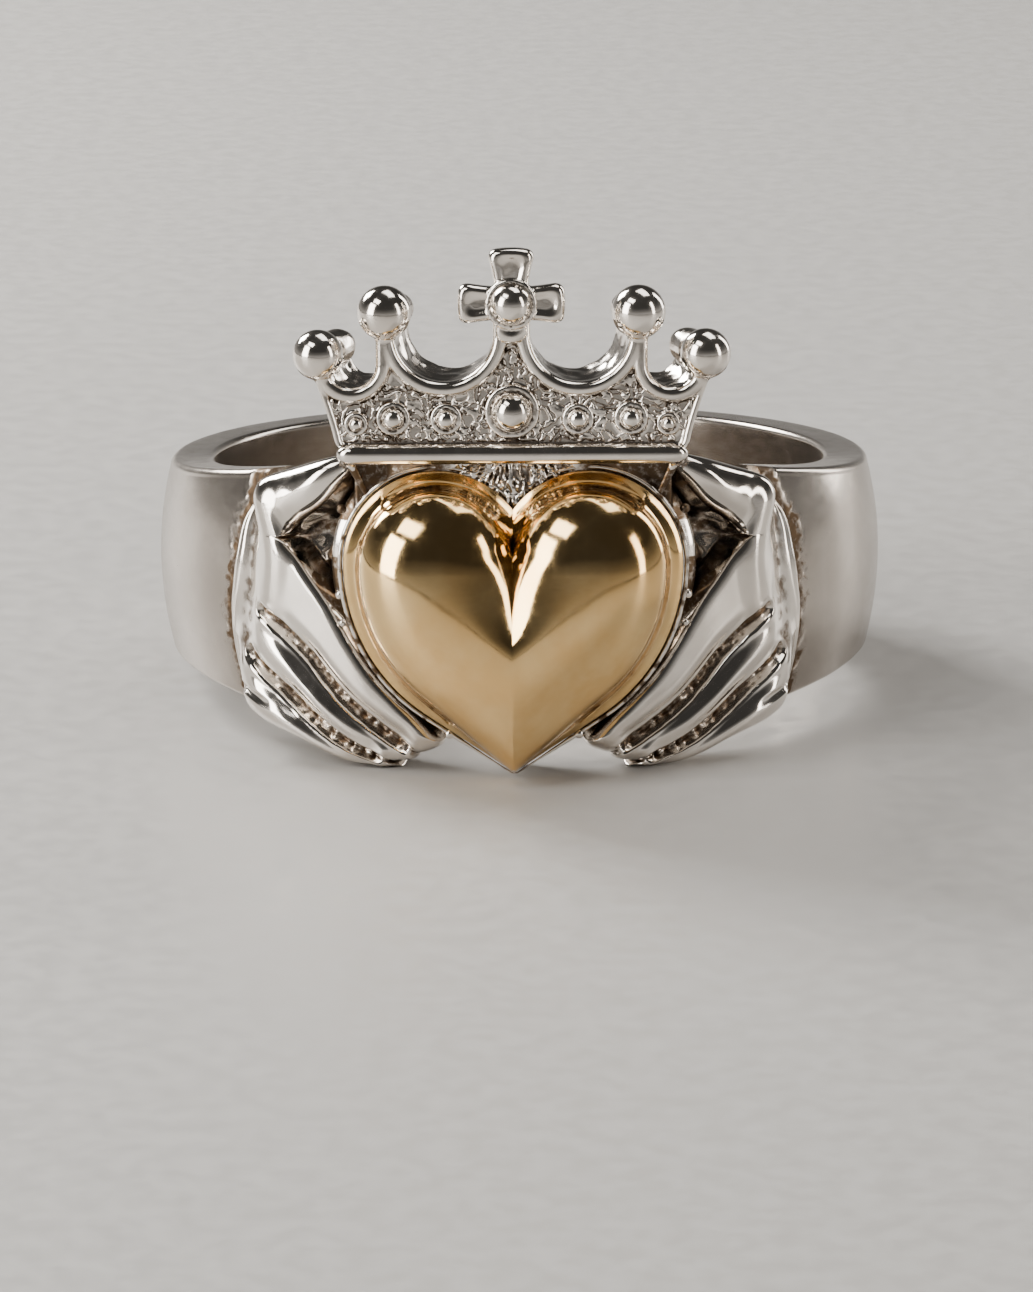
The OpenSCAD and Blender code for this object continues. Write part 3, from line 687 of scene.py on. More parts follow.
def hand_piece(name, side, material):
    p, strips, steps = hand_places()
    rows, cols = p.shape[:2]
    flat = unrolled(p).reshape(-1, 2)
    z = p[..., 1].ravel()
    u = np.tile(steps, rows)
    strip = np.repeat(strips, cols)
    rough, ribs = skin_noise(flat, 2.6, 0, 11), skin_noise(flat, 5.5, 3, 12)
    r = hand_skin(u, z)
    recess = np.zeros(len(z))
    for values in GROOVES:
        lower, dark = groove(flat, rough, ribs, *values)
        r -= lower
        recess = np.maximum(recess, dark)
    r -= little_dimple(flat)
    index, index_along = to_line(flat, flat_line(HOLLOW, PARTING))
    thumb, _ = to_line(flat, flat_line(THUMB, PARTING))
    r -= edge_cut(flat, strip, u, unrolled(p)[:, -1], index, index_along, thumb)
    d, along = to_line(flat, flat_run(spline(RIDGE, np.linspace(0, 1, 40)), RIDGE_SPAN))
    r += RIDGE_RISE * (1 - ease(d / 0.80)) * mix(1, 0.6, along)
    d, _ = to_line(flat, flat_run(np.full(30, DIP_AT), DIP_SPAN))
    r -= DIP_DEPTH * (1 - ease(d / 0.90))
    recess = np.maximum(recess, 0.78 * (1 - ease(d / 0.85)) * ramp(-0.7, 0.3, rough))
    # Thin bright bead along the cuff
    d, _ = to_line(flat, unrolled(hand_edge()))
    r += CUFF_BEAD * np.exp(-((d - 0.10) / 0.085) ** 2) - edge_round(d, 0.10) * 0.8
    hollow = strip == HOLLOW
    sunk, dark = hollow_floor(flat, u, r, np.minimum(index, thumb))
    r = np.where(hollow, sunk, r)
    recess = np.maximum(recess, hollow * dark)
    # Small cast unevenness, inwards only
    r -= 0.016 * (skin_noise(flat, 0.9, 5, 14) + 1)
    a = np.radians(p[..., 0].ravel())
    sheets = round_finger(r, a, z), round_finger(BORE_R + ROOT_GAP, a, z * ROOT_DRAFT)
    points, faces = closed_sheet(*[sheet.reshape(rows, cols, 3) for sheet in sheets])
    if side < 0:
        points[:, 0] *= -1
        faces = faces[:, ::-1]
    # Nothing lies below the floor
    below = np.maximum(FLOOR_CLEARANCE * MM - laid_down(points)[:, 2], 0) / MM
    points[:, 2] += below / math.cos(LEAN)
    return piece(name, points, faces, material, 50, recess)


# ---- heart

# Each lobe's crest meets the middle line as a ridge and rolls past it
CREST_MEET = 0.46
CREST_RUN = 0.72
CREST_PAST = 0.48
# The crest is highest at CREST_TOP of the way to the point
CREST_TOP = 0.25
CREST_DROP = 0.75
# The crease from the cleft down, as a share of the way from crest to edge
CREASE = [0.967, 0.912, 0.855, 0.805, 0.76, 0.71, 0.64, 0.53, 0.34, 0.14, 0.06]
# Section of the dome: 1 - share ** power, raised to DOME_ROOT; the power falls towards the point
DOME_POWER = 2.3
POINT_POWER = 1.7
DOME_ROOT = 0.55
DOME_RISE = HEART_PUFF - 0.12
CLEFT_Z = LOBE_Z + math.sqrt(LOBE_R ** 2 - LOBE_X ** 2)
MEET_Z = mix(LOBE_Z, -HEART_TIP, CREST_MEET)

# Steps along the outline: round a lobe, along the side arc and down the straight run
HEART_STEPS = (64, 40, 24)
CREASE_STEPS = 30
RAY_POINTS = 49
# Side wall from rim to foot: (spread, share of the depth), the spread in millimetres for a foot
# that flares by WALL_FLARE
WALL_FLARE = 0.48
HEART_WALL = (
    (0.0, 0.035), (0.02, 0.09), (0.05, 0.22), (0.12, 0.42), (0.24, 0.62), (0.38, 0.75),
    (0.46, 0.82), (0.48, 0.90), (0.47, 1.0),
)


def side_run(off=0.0, tip_off=0.0):
    """The side arc's centre, the straight run's slope, where they meet, and the point."""
    r = SIDE_R + off
    centre = np.array([HEART_W / 2 - SIDE_R, LOBE_Z])
    tip = np.array([0.0, -HEART_TIP - tip_off])
    d = np.linalg.norm(centre - tip)
    slope = math.atan2(*(centre - tip)[::-1]) - math.asin(r / d)
    meets = tip + math.sqrt(d * d - r * r) * np.array([math.cos(slope), math.sin(slope)])
    return centre, slope, meets, tip


def half_outline(steps, off=0.0, tip_off=0.0):
    """Right half of the heart's outline from the cleft to the point, spread outwards by off."""
    top, side, low = steps
    centre, slope, meets, tip = side_run(off, tip_off)
    r = LOBE_R + off
    a = np.linspace(math.acos(-LOBE_X / r), 0, top + 1)
    b = np.linspace(0, slope - math.pi / 2, side + 1)[1:]
    return np.concatenate([
        np.array([LOBE_X, LOBE_Z]) + r * np.stack([np.cos(a), np.sin(a)], -1),
        centre + (SIDE_R + off) * np.stack([np.cos(b), np.sin(b)], -1),
        mix(meets, tip, (np.arange(low)[:, None] + 1) / low)])


def half_width(z):
    centre, slope, meets, _ = side_run()
    curved = centre[0] + np.sqrt(np.maximum(SIDE_R ** 2 - (z - centre[1]) ** 2, 0))
    return np.where(z > meets[1], curved, (z + HEART_TIP) / math.tan(slope))


def outside_foot(x, z):
    """Distance outside the outline of the heart's foot."""
    ax = np.abs(x)
    centre, slope, meets, tip = side_run(HEART_FLARE, FOOT_POINT)
    lobe = np.hypot(ax - LOBE_X, z - LOBE_Z) - LOBE_R - HEART_FLARE
    side = np.hypot(ax - centre[0], z - LOBE_Z) - (SIDE_R + HEART_FLARE)
    line = ax * math.sin(slope) - (z - tip[1]) * math.cos(slope)
    return np.where(z < meets[1], line, np.where(z < LOBE_Z, side, lobe))


def dome_height(x, z):
    """Height of the dome over its edge."""
    way = (LOBE_Z - z) / (LOBE_Z + HEART_TIP)
    s = np.clip(way, 0, 1)
    at = LOBE_X * mix(1, -CREST_PAST, (1 - np.cos(math.pi * np.minimum(s / CREST_RUN, 1))) / 2)
    outer = np.where(z >= LOBE_Z, LOBE_R, np.maximum(half_width(z) - at, 0.01))
    down = np.clip((CLEFT_Z - z) / (CLEFT_Z - MEET_Z), 0, 1)
    inner = np.where(z > CLEFT_Z, LOBE_R, np.maximum(at, 0.05) / spline(CREASE, down))
    wide = np.where(x >= at, outer, inner)
    share = np.hypot((x - at) / wide, np.maximum(z - LOBE_Z, 0) / LOBE_R)
    power = mix(DOME_POWER, POINT_POWER, ramp(0.30, 0.85, s))
    crest = 1 - CREST_DROP * (way - CREST_TOP) ** 2
    return DOME_RISE * crest * np.maximum(1 - share ** power, 0) ** DOME_ROOT


def heart_face():
    """Right half of the dome: rays from its crest to the crease and the edge."""
    q = 1 - (1 - np.linspace(0, 1, RAY_POINTS)[:, None]) ** 1.7
    outline = half_outline(HEART_STEPS)
    lobe = HEART_STEPS[0] + 1
    crown, meet, point = np.array([[LOBE_X, LOBE_Z], [0, MEET_Z], [0, -HEART_TIP]])
    crease = mix(meet, outline[0], np.arange(CREASE_STEPS)[:, None] / CREASE_STEPS)
    fan, ends = np.concatenate([crease, outline[:lobe]]), outline[lobe:]
    below = len(ends) - RAY_POINTS + 1
    starts = np.concatenate([mix(crown, meet, q[1:]),
                             mix(meet, point, (np.arange(below)[:, None] + 1) / below)])
    rays = [mix(crown, end, q) for end in fan]
    rays = np.array(rays + [mix(start, end, q) for start, end in zip(starts, ends)])
    x, z = rays[..., 0], rays[..., 1]
    h = dome_height(x, z)
    h[CREASE_STEPS:, -1] = 0
    return upright(x, z, EDGE_Y - h)


def heart_piece(material):
    face = heart_face()
    wall = [face[CREASE_STEPS:, -1]]
    for spread, deep in HEART_WALL:
        share = spread / WALL_FLARE
        line = half_outline(HEART_STEPS, share * HEART_FLARE, share * FOOT_POINT)
        wall.append(upright(*line.T, mix(EDGE_Y, HEART_Y, deep)))
    wall = np.array(wall)
    points, faces, feet, start = [], [], [], 0
    for mirror in (1, -1):
        for grid in (face, wall):
            points.append((grid * [mirror, 1, 1]).reshape(-1, 3))
            faces += list(grid_quads(*grid.shape[:2], start)[:, ::mirror])
            start += grid[..., 0].size
        feet.append(np.arange(start - wall.shape[1], start))
    right, left = feet
    faces.append(list(right) + list(left[::-1])[1:-1])
    points = np.concatenate(points)
    # Tarnish spots along the rim, and painted shade that darkens the side wall more towards the
    # bed
    rim = np.abs(points[:, 1] - mix(EDGE_Y, HEART_Y, 0.06)) < 0.07
    spots = ramp(0.55, 0.75, noise(points * 2.4, 21) * 0.5 + 0.5)
    # deep is painted shade: the side wall darkens down towards the bed
    deep = ramp(EDGE_Y + 0.35, HEART_Y, points[:, 1])
    darkening = np.clip(rim * spots * 0.75 + deep * 0.62, 0, 1)
    return piece("heart", points, faces, material, 30, darkening)


# ---- crown

# Beads over the bar: x, height and radius
BEADS = ((0.0, 1.30, 0.65), (2.04, 1.07, 0.33), (3.68, 1.09, 0.36), (4.83, 0.92, 0.22))
# The crown's side at its outer posts, its bow and its draw at the foot
SIDE_TOP = OUTER_SCALLOP[0] + OUTER_SCALLOP[2] + 0.57
SIDE_BOW = 1.35
SIDE_TAPER = 0.24
# Depth of the chased field behind the mouldings, and of its strokes
FIELD_DEPTH = 0.10
FIELD_LOW = 0.045
STROKE_RISE = 0.135
FIELD_BACK = 0.5
# How far inside the scallops and the sides the mouldings lie
BORDER_IN = 0.20
RIM_IN = 0.10
# Neck below the cross
NECK_Z = 3.42
NECK_R = 0.27
# The bar's straight part, and the root that joins it to the panel
BAR_HALF = CROWN_FOOT - 0.55
ROOT_HALF = CROWN_FOOT - 0.22


def at_crown(points):
    """Crown places (x, depth back from the field, height over the bar) to ring millimetres."""
    p = np.asarray(points, float)
    return np.stack([p[..., 0], FIELD_Y + p[..., 1], FOOT_Z + p[..., 2]], -1)


def slab(y, middle, half):
    """Distance outside a layer."""
    return np.abs(y - middle) - half


def scallop(ax, pz, place):
    """Distance outside a scallop, open at its top."""
    x, z, r = place
    return np.hypot(ax - x, np.minimum(pz - z, 0)) - r


def crown_side(ax, pz):
    """Distance outside the crown's slanting side."""
    t = np.clip(pz / OUTER_SCALLOP[1], -0.1, 1.4)
    edge = CROWN_FOOT + (SIDE_TOP - CROWN_FOOT) * np.sign(t) * np.abs(t) ** SIDE_BOW
    return (ax - edge + SIDE_TAPER * ramp(0.40, -0.15, pz)) * 0.95


def crown_outline(ax, pz):
    """Flat distances outside the plate and its scallops, and the height where its posts end."""
    outer, inner = scallop(ax, pz, OUTER_SCALLOP), scallop(ax, pz, INNER_SCALLOP)
    cap = np.where(ax > OUTER_SCALLOP[0], OUTER_BALL[1],
                   np.where(ax > INNER_SCALLOP[0], INNER_BALL[1], CROSS_RISE))
    plate = np.maximum(np.maximum(crown_side(ax, pz), pz - cap), np.maximum(-outer, -inner))
    return plate, outer, inner, cap


def ball_on_post(shape, px, pz, y, ax, z, ball, post_share, lean):
    """Adds a ball in front of a round post, with a collar under it."""
    bx, bz, r = ball
    front = length(ax - bx, y, z - bz) - r
    post = np.hypot(px - bx, pz - bz + 0.05) - post_share * r
    post = smooth_max(post, slab(y, CROWN_T / 2, CROWN_T / 2), 0.55)
    shape = smooth_min(shape, smooth_min(front, post, 0.05), 0.07)
    neck = length((px - bx + lean) / 1.5, (pz - bz + r * 0.97) / 0.62, (y - 0.05) / 1.2)
    return smooth_min(shape, (neck - 0.20) * 0.8, 0.05)


def crown_shape(x, y, z):
    """Signed distance of the crown without its cross."""
    ax = np.abs(x)
    shrink = 1 - CROWN_DRAW * np.clip(y, 0, CROWN_T) / CROWN_T
    px, pz = ax / shrink, CROSS_RISE + (z - CROSS_RISE) / shrink
    plate, outer, inner, cap = crown_outline(px, pz)
    hammered = noise(upright(x, z, y) * 2.2, 25)
    plate += 0.045 * hammered * ramp(0.25, 0.6, y)
    low = -0.25 - pz
    body = slab(y, (FIELD_DEPTH + CROWN_T) / 2, (CROWN_T - FIELD_DEPTH) / 2)
    body = np.maximum(smooth_max(plate, body, 0.10), low)
    # Half-round moulding along the scallops and up the posts
    top = pz - cap
    borders = [np.maximum(np.hypot(edge - BORDER_IN, y - 0.02) - BORDER_R, top)
               for edge in (outer, inner)]
    shape = smooth_min(smooth_min(*borders, 0.05), body, 0.05)
    # The inner mouldings join in a neck below the cross
    neck = np.hypot(px / mix(1.0, 1.35, ramp(4.2, 3.4, pz)), y - 0.10) - NECK_R
    shape = smooth_min(shape, smooth_max(neck, np.maximum(NECK_Z - pz, top), 0.30), 0.16)
    # Thin rim down the sides
    rim = np.hypot(crown_side(px, pz) + RIM_IN, y - 0.08) - 0.11
    rim = np.maximum(np.maximum(rim, pz - OUTER_SCALLOP[1]), low)
    shape = smooth_min(shape, rim, 0.06)
    shape = ball_on_post(shape, px, pz, y, ax, z, OUTER_BALL, 0.82, 0.16)
    shape = ball_on_post(shape, px, pz, y, ax, z, INNER_BALL, 0.70, 0.02)
    # Beads in their collars
    for bx, bz, r in BEADS:
        flat = np.hypot(ax - bx, z - bz)
        tube = 0.072 + 0.07 * r
        collar = np.hypot(flat - r - 0.6 * tube - 0.02, y - 0.07) - tube
        seat = np.maximum(flat - r - tube, slab(y, 0.15, 0.10))
        ball = np.hypot(flat, y - 0.02) - r
        shape = np.minimum(shape, np.minimum(ball, smooth_min(collar, seat, 0.04)))
    # Round bar under the crown, and the root that joins it to the panel
    bar = length(0.62 * np.maximum(ax - BAR_HALF, 0), y + 0.08, z * 1.03)
    shape = smooth_min(shape, bar - BAR_R, 0.04)
    root = smooth_max(ax - ROOT_HALF, slab(z, 0.10, 0.42), 0.25)
    return smooth_min(shape, smooth_max(root, slab(y, 0.80, 0.66), 0.25), 0.06)


def crown_wear(p):
    """Tarnish round the beads' feet and along the inside of the mouldings."""
    x, y, z = p.T
    ax = np.abs(x)
    near = np.zeros(len(p))
    for bx, bz, r in BEADS:
        flat = np.hypot(ax - bx, z - bz)
        near = np.maximum(near, np.exp(-((flat - r - 0.015) / 0.035) ** 2) * (y < 0.12))
    plate, outer, inner, _ = crown_outline(ax, z)
    edge = np.minimum(np.abs(outer - 0.44), np.abs(inner - 0.44))
    near = np.maximum(near, ramp(0.05, 0.12, y) * (y < 0.25) * (1 - ramp(0.0, 0.12, edge)) * 0.8)
    # Matte cast skin on the floors of the scallops
    cast = (y > 0.28) * (y < 1.40) * (z > 0.6) * (plate > -0.10)
    near = np.maximum(near, 0.60 * cast * ramp(-0.5, 0.3, noise(p * 3.2, 26)))
    return near * 0.9


def crown_piece(material):
    points, faces = skin_of(crown_shape, (-6.95, -0.96, -0.55), (6.95, 1.75, 5.45), 0.056)
    return piece("crown", at_crown(points), faces, material, 60, crown_wear(points))


def stroke_ground(x, z):
    """Height from 0 to 1 of the curled strokes chased over the crown's field."""
    p = upright(x, z)
    q = p * 2.3 + 0.75 * upright(noise(p * 1.6, 31), noise(p * 1.6, 32))
    first = 1 - ramp(0.09, 0.26, np.abs(noise(q, 33)))
    second = 1 - ramp(0.08, 0.22, np.abs(noise(q * 1.5 + 7, 34)))
    gaps = ramp(-0.35, 0.05, noise(p * 2.9, 37))
    speck = ramp(0.30, 0.60, noise(p * 7.0, 35))
    return np.clip(np.maximum(first * gaps, 0.9 * second) + 0.22 * speck, 0, 1)


def crown_field(material):
    step = 0.034
    x, z = np.arange(-6.0, 6.0 + step, step), np.arange(0.30, 4.3, step)
    x, z = np.meshgrid(x, z, indexing="ij")
    plate, outer, inner, _ = crown_outline(np.abs(x), z)
    scalloped = np.minimum(outer, inner)
    inside = np.maximum(plate + 0.05, 0.16 - scalloped) < 0
    keep = inside[:-1, :-1] & inside[1:, :-1] & inside[:-1, 1:] & inside[1:, 1:]
    hide = np.zeros_like(x)
    for bx, bz, r in BEADS:
        hide = np.maximum(hide, 1 - ramp(0.02, 0.14, np.hypot(np.abs(x) - bx, z - bz) - r))
    edge = mix(0.3, 1, ramp(0.16, 0.30, scalloped)) * ramp(0.28, 0.44, z)
    h = stroke_ground(x, z) * (1 - 0.8 * hide) * edge
    front = at_crown(upright(x, z, FIELD_DEPTH + FIELD_LOW - STROKE_RISE * h))
    points, faces = closed_sheet(front, at_crown(upright(x, z, FIELD_BACK)), keep)
    patch = ramp(-0.4, 0.5, noise(upright(x, z) * 0.9, 36))
    darkening = (1 - ramp(0.15, 0.80, h)) * mix(0.75, 1.0, patch) * mix(0.6, 1.0, ramp(0.35, 0.5, z))
    return piece("crown_field", points, faces[:, ::-1], material, 75, darkening)


# ---- cross

# Arms: quarter turns from the upper one, reach and half tip width as shares of the cross's width
CROSS_ARMS = ((0, 0.515, 0.245), (1, 0.50, 0.205), (3, 0.50, 0.205), (2, 0.36, 0.17))
ARM_ROOT = 0.150 * CROSS_W
ARM_BOW = 0.16
ARM_CORNER = 0.36
DISH = 0.12
CROSS_MIDDLE = 0.02


def cross_outline(x, z):
    """Flat distance outside the cross, whose arms widen to rounded ends."""
    flat = None
    for turn, reach, tip in CROSS_ARMS:
        sideways, along = ((x, z), (z, x), (x, -z), (z, -x))[turn]
        reach, spread = reach * CROSS_W, tip * CROSS_W - ARM_ROOT
        t = np.clip(along / reach, 0, 1.1)
        slope = 1 / np.sqrt(1 + (2 * spread * t / reach) ** 2)
        arm = (np.abs(sideways) - ARM_ROOT - spread * t ** 2) * slope
        arm = smooth_max(arm, along - reach + ARM_BOW * sideways ** 2, ARM_CORNER)
        arm = np.maximum(arm, -along - 0.3)
        flat = arm if flat is None else smooth_min(flat, arm, 0.12)
    return flat


def cross_shape(x, y, z):
    """Signed distance of the cross; y is measured from the crown's field, z from the ball."""
    flat = cross_outline(x, z)
    away = np.hypot(x, z)
    thick = CROSS_T / 2
    dish = DISH * ramp(0.13, 0.40, -flat) * ramp(0.55, 0.80, away)
    wobble = 0.012 * noise(upright(x, z, y) * 2.6, 41)
    body = smooth_max(flat, slab(y, CROSS_MIDDLE, thick), 0.34)
    body = smooth_max(body, CROSS_MIDDLE - y - thick + dish + wobble, 0.07)
    # Ball on a collar
    ball = length(x, y + thick, z) - CROSS_BALL_R
    collar = np.hypot(away - CROSS_BALL_R - 0.05, y + thick - 0.05) - 0.085
    seat = np.maximum(away - CROSS_BALL_R - 0.05, np.abs(y) - thick + 0.05)
    shape = smooth_min(body, smooth_min(collar, seat, 0.05), 0.04)
    # The foot of the cross flares into the crown's peak
    wide = 1.15 + 0.5 * np.clip(-z - 0.75, 0, 0.6)
    foot = smooth_max(np.hypot(x / wide, y - 0.10) - 0.33, slab(z, -0.80, 0.42), 0.15)
    return np.minimum(smooth_min(shape, foot, 0.14), ball)


def cross_piece(material):
    points, faces = skin_of(cross_shape, (-1.95, -1.20, -1.85), (1.95, 0.85, 1.95), 0.038)
    x, y, z = points.T
    away = np.hypot(x, z)
    inset = ramp(0.14, 0.34, -cross_outline(x, z)) * (y < 0) * ramp(0.8, 0.9, away)
    ring = np.exp(-((away - CROSS_BALL_R + 0.01) / 0.035) ** 2) * (y > -0.75) * (y < 0)
    darkening = 0.42 * inset * ramp(-0.3, 0.4, noise(points * 1.6, 42)) + 0.75 * ring
    ring_points = at_crown(points + [0, 0, CROSS_RISE])
    return piece("cross", ring_points, faces, material, 60, np.clip(darkening, 0, 1))


# ---- bed

BEZEL_R = 0.075
BEZEL_OUT = 0.10
BEZEL_SIDES = 12
BEZEL_STEPS = (90, 90, 60)
PANEL_HALF = 4.95
# Depth of the leaf cut over the cleft and of the hollows beside the lobes
LEAF_CUT = 0.13
PANEL_HOLLOW = 0.75
SEAT_SPREAD = 0.45
# Where the leaf's strokes fan out from, and where they end
FAN_Z = 6.4
LEAF_END = (1.5, 2.3)
# Webs from the bar to the thumbs and the heart: ends (x, depth before the hole, z) and radii
WEBS = (
    ((5.12, 2.20, FOOT_Z - 0.04), (5.20, 1.25, FOOT_Z - 0.30), 0.27, 0.25),
    ((5.08, 1.95, FOOT_Z - 0.20), (4.58, 1.64, 3.66), 0.17, 0.09),
)
# Lumps of solder: place and radius
SOLDER = (
    ((5.42, 1.10, 0.35), 0.17), ((5.36, 1.15, -0.55), 0.13),
    ((5.35, 1.15, 3.05), 0.16), ((2.02, 1.62, -4.00), 0.17),
)


def bezel_piece(material):
    """Thin silver lip that runs round the heart's foot."""
    half = half_outline(BEZEL_STEPS, HEART_FLARE + BEZEL_OUT, FOOT_POINT + BEZEL_OUT)[4:-2]
    loop = np.concatenate([half, (half * [-1, 1])[::-1]])
    along = np.roll(loop, -1, 0) - np.roll(loop, 1, 0)
    out = np.stack([along[:, 1], -along[:, 0]], -1)
    out = out / np.maximum(np.linalg.norm(along, axis=1), 1e-6)[:, None]
    turn = np.linspace(0, 2 * math.pi, BEZEL_SIDES + 1)[:-1]
    place = upright(*loop.T)
    tube = BEZEL_R * (1 + 0.16 * noise(place * 1.9, 61) + 0.12 * noise(place * 5.0, 62))
    tube = (tube * mix(1, 0.4, ramp(4.0, 5.0, -loop[:, 1])))[:, None]
    flat = loop[:, None] + out[:, None] * (tube * np.cos(turn))[..., None]
    points = upright(flat[..., 0], flat[..., 1], BED_Y - 0.03 - tube * np.sin(turn))
    faces = grid_quads(len(loop), len(turn), wrap_rows=True, wrap_cols=True)
    darkening = 0.25 + 0.6 * ramp(0.0, 0.5, noise(points.reshape(-1, 3) * 2.4, 63))
    return piece("heart_bezel", points, faces, material, 60, darkening)


def leaf_strokes(x, z):
    """Height from 0 to 1 of the strokes that fan down to the cleft."""
    p = upright(np.arctan2(x, FAN_Z - z) * 27, (z + 0.35 * np.abs(x)) * 1.5)
    strokes = 1 - ramp(0.02, 0.40, np.abs(noise(p, 71)))
    return np.clip(strokes + 0.25 * noise(p * 2.0, 72), 0, 1)


def bed_shape(x, y, z):
    """Signed distance of the bed and the crown's panel; y is the depth before the hole."""
    ax = np.abs(x)
    # Near the finger hole the seat widens to meet the hands
    foot = outside_foot(x, z) + 0.04 - SEAT_SPREAD * ramp(0.85, 0.45, y) * ramp(-4.7, -3.8, z)
    seat = smooth_max(foot, slab(y, BED_WALL / 2, BED_WALL / 2 - 0.02), 0.05)
    # Panel behind the bar, hollowed beside the lobes
    wide = np.maximum(ax - PANEL_HALF, np.maximum(z - FOOT_Z - 0.15, LOBE_Z - z))
    cut = LEAF_CUT * (leaf_strokes(x, z) - 0.6) * (1 - ramp(*LEAF_END, ax))
    cut += 0.05 * noise(upright(x * 1.4, z * 1.4), 51)
    depth = BED_WALL + 0.10 + cut - PANEL_HOLLOW * ramp(2.2, 4.2, ax)
    shape = smooth_min(seat, smooth_max(wide, np.maximum(y - depth, -y), 0.12), 0.08)
    at = upright(ax, z, y)
    for start, end, r0, r1 in WEBS:
        run = np.subtract(end, start)
        t = np.clip((at - start) @ run / (run ** 2).sum(), 0, 1)
        web = np.linalg.norm(at - start - t[..., None] * run, axis=-1) - mix(r0, r1, t)
        shape = smooth_min(shape, web, 0.16)
    for place, r in SOLDER:
        shape = smooth_min(shape, np.linalg.norm(at - place, axis=-1) - r, 0.12)
    return smooth_max(shape, BORE_R + 0.03 - np.hypot(x, BORE_R + y), 0.03)


def bed_piece(material):
    points, faces = skin_of(bed_shape, (-6.5, -1.75, -5.35), (6.5, 2.55, 5.35), 0.068)
    x, y, z = points.T
    ax = np.abs(x)
    ring = upright(x, z, -(BORE_R + y))
    # Tarnish in the leaf cut and in patches, and painted shade on the panel beside the lobes under
    # the bar
    strokes = leaf_strokes(x, z) * (1 - ramp(*LEAF_END, ax))
    darkening = np.where(z > LOBE_Z, 0.75 * (1 - strokes) * (1 - ramp(1.5, 2.6, ax)), 0.0)
    # beside is painted shade on the panel under the bar, beside the lobes
    beside = ramp(1.5, 2.4, ax) * (z > 2.6) * (y < 2.0) * (z < FOOT_Z - 0.2)
    patches = ramp(0.1, 0.5, noise(ring * 2.2, 52))
    darkening = np.maximum(np.maximum(darkening, 0.85 * beside), 0.55 * patches) * (y > 0.4)
    # Painted shade on the seat's lip in the gap round the heart's foot
    lip = ramp(0.02, 0.10, outside_foot(x, z)) * ramp(1.15, 0.95, y) * (z < LOBE_Z)
    darkening = np.maximum(darkening, 0.9 * lip)
    return piece("bed", ring, faces[:, ::-1], material, 60, darkening)


# ---- stage

# The camera stands where the photo's did, in millimetres
CAMERA_AT = (3.3232, -191.2687, 55.9717)
CAMERA_TOWARDS = (-0.0172, 0.9612, -0.2753)
CAMERA_ROLL = math.radians(-0.45)
PHOTO_HEIGHT_PX = 1292
FOCAL_PX = 6030
SENSOR = 36.0

# Softboxes: name, place, width and height in millimetres, radiance, tint
SOFTBOXES = (
    ("key", (-165, 160, 155), (110, 110), 36.0, (1.0, 0.975, 0.94)),
    ("left", (-205, -130, 100), (115, 190), 12.0, (1.0, 0.965, 0.92)),
    ("right", (215, -95, 90), (45, 180), 8.0, (1.0, 0.94, 0.87)),
    ("front_top", (-120, -110, 230), (120, 70), 8.0, (1.0, 0.97, 0.93)),
    ("top", (60, 60, 255), (170, 110), 4.2, (1.0, 0.975, 0.94)),
    ("rear_right", (200, 160, 95), (60, 190), 8.0, (1.0, 0.96, 0.91)),
)
SOFTBOX_AIM = (0, -4, 6)
# The room from the horizon up: (height, brightness), and its tint
ROOM = ((0.0, 0.46), (0.08, 0.32), (0.20, 0.15), (0.42, 0.045), (1.0, 0.045))
ROOM_TINT = (1, 0.97, 0.93)
# Floor: half width in metres, and its paper's two tones
FLOOR_HALF = 1.5
PAPER = ((0.405, 0.395, 0.38), (0.435, 0.425, 0.41))
PAPER_BUMP = 0.05


def looking(direction):
    """Turn of a camera or light that looks along a direction."""
    return Vector(direction).to_track_quat("-Z", "Y")


def set_camera():
    data = bpy.data.cameras.new("camera")
    data.sensor_fit = "VERTICAL"
    data.sensor_height = SENSOR
    data.lens = FOCAL_PX * SENSOR / PHOTO_HEIGHT_PX
    data.clip_start, data.clip_end = 0.005, 10
    camera = add_object("camera", data)
    camera.matrix_world = (Matrix.Translation(Vector(CAMERA_AT) * MM)
                           @ looking(CAMERA_TOWARDS).to_matrix().to_4x4()
                           @ Matrix.Rotation(CAMERA_ROLL, 4, "Z"))
    bpy.context.scene.camera = camera


def softbox(name, at_mm, size_mm, radiance, tint):
    data = bpy.data.lights.new(name, "AREA")
    data.shape = "RECTANGLE"
    data.size, data.size_y = size_mm[0] * MM, size_mm[1] * MM
    data.energy = radiance * math.pi * size_mm[0] * size_mm[1] * MM * MM
    data.color = tint
    light = add_object(name, data)
    light.location = Vector(at_mm) * MM
    light.rotation_euler = looking(Vector(SOFTBOX_AIM) * MM - light.location).to_euler()


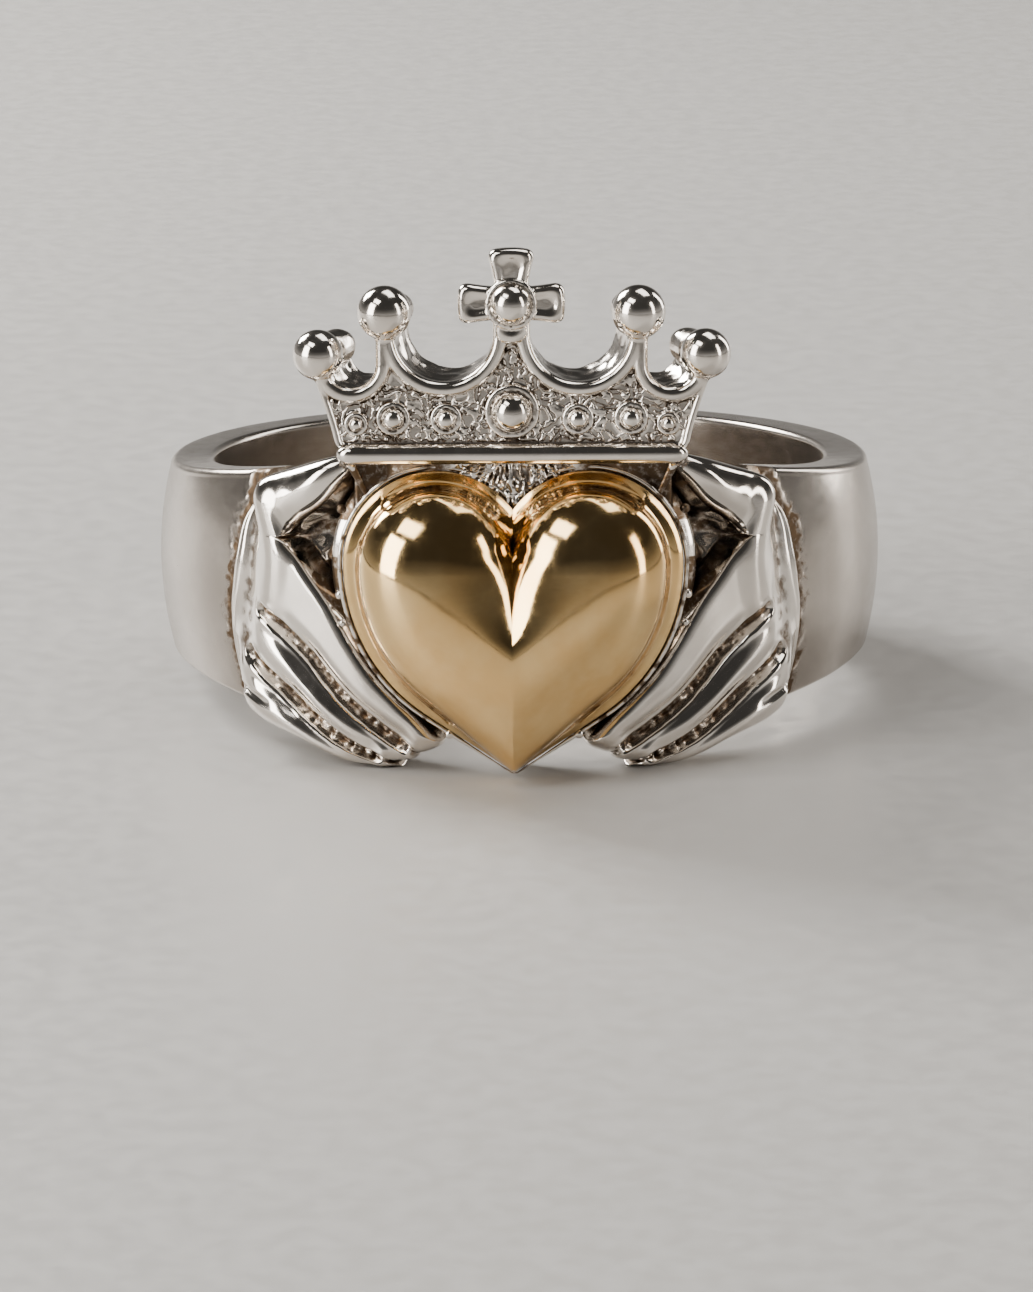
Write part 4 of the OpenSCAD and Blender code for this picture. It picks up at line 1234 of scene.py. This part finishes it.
def set_room():
    world = bpy.data.worlds.new("studio")
    world.use_nodes = True
    tree = world.node_tree
    place, split, fade = [tree.nodes.new("ShaderNode" + kind)
                          for kind in ("TexCoord", "SeparateXYZ", "ValToRGB")]
    tree.links.new(place.outputs["Generated"], split.inputs[0])
    tree.links.new(split.outputs["Z"], fade.inputs["Fac"])
    tree.links.new(fade.outputs[0], tree.nodes["Background"].inputs["Color"])
    stops = fade.color_ramp.elements
    while len(stops) < len(ROOM):
        stops.new(0.5)
    for stop, (height, level) in zip(stops, ROOM):
        stop.position = height
        stop.color = [level * share for share in ROOM_TINT] + [1]
    bpy.context.scene.world = world


def floor_piece():
    w = FLOOR_HALF
    mesh = bpy.data.meshes.new("floor")
    mesh.from_pydata([(-w, -w, 0), (w, -w, 0), (w, w, 0), (-w, w, 0)], [], [(0, 1, 2, 3)])
    floor = add_object("floor", mesh)
    r = Recipe("floor_paper")
    speck = r.noise(0.9, 3.0, 0.6)
    r.to("Base Color", r.blend(r.ramp(speck, 0.3, 0.7), *PAPER))
    r.to("Roughness", r.ramp(speck, 0.3, 0.7, 0.42, 0.55))
    r.bump(speck, PAPER_BUMP)
    mesh.materials.append(r.material)


set_camera()
for values in SOFTBOXES:
    softbox(*values)
set_room()
floor_piece()

# ---- the ring

POLISHED = metal("polished_silver", (0.86, 0.81, 0.75), (0.75, 0.695, 0.63),
                 rough=(0.075, 0.09), crevice=(0.22, 0.62, 0.32), strength=0.10)
CHASED = metal("chased_silver", (0.82, 0.77, 0.71), (0.66, 0.61, 0.55),
               rough=(0.17, 0.12), crevice=(0.30, 0.75, 0.22),
               grain_mm=0.2, strength=0.20, pits=0.5)
SATIN = metal("satin_silver", (0.51, 0.465, 0.415), (0.43, 0.385, 0.34),
              rough=(0.20, 0.06), crevice=(0.25, 0.65, 0.40),
              grain_mm=0.45, stretch=(0.8, 0.8, 1.6), strength=0.05, pits=0.05)
GOLD = metal("yellow_gold", (0.85, 0.60, 0.285), (0.76, 0.495, 0.205),
             rough=(0.065, 0.08), crevice=(0.22, 0.60, 0.28), strength=0.07)

band = band_piece(SATIN)
hand_piece("hand_left", -1, POLISHED)
hand_piece("hand_right", 1, POLISHED)
heart = heart_piece(GOLD)
bezel_piece(POLISHED)
crown_piece(POLISHED)
crown_field(CHASED)
cross_piece(POLISHED)
bed_piece(POLISHED)

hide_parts("silver_ring")
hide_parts("gold_heart")
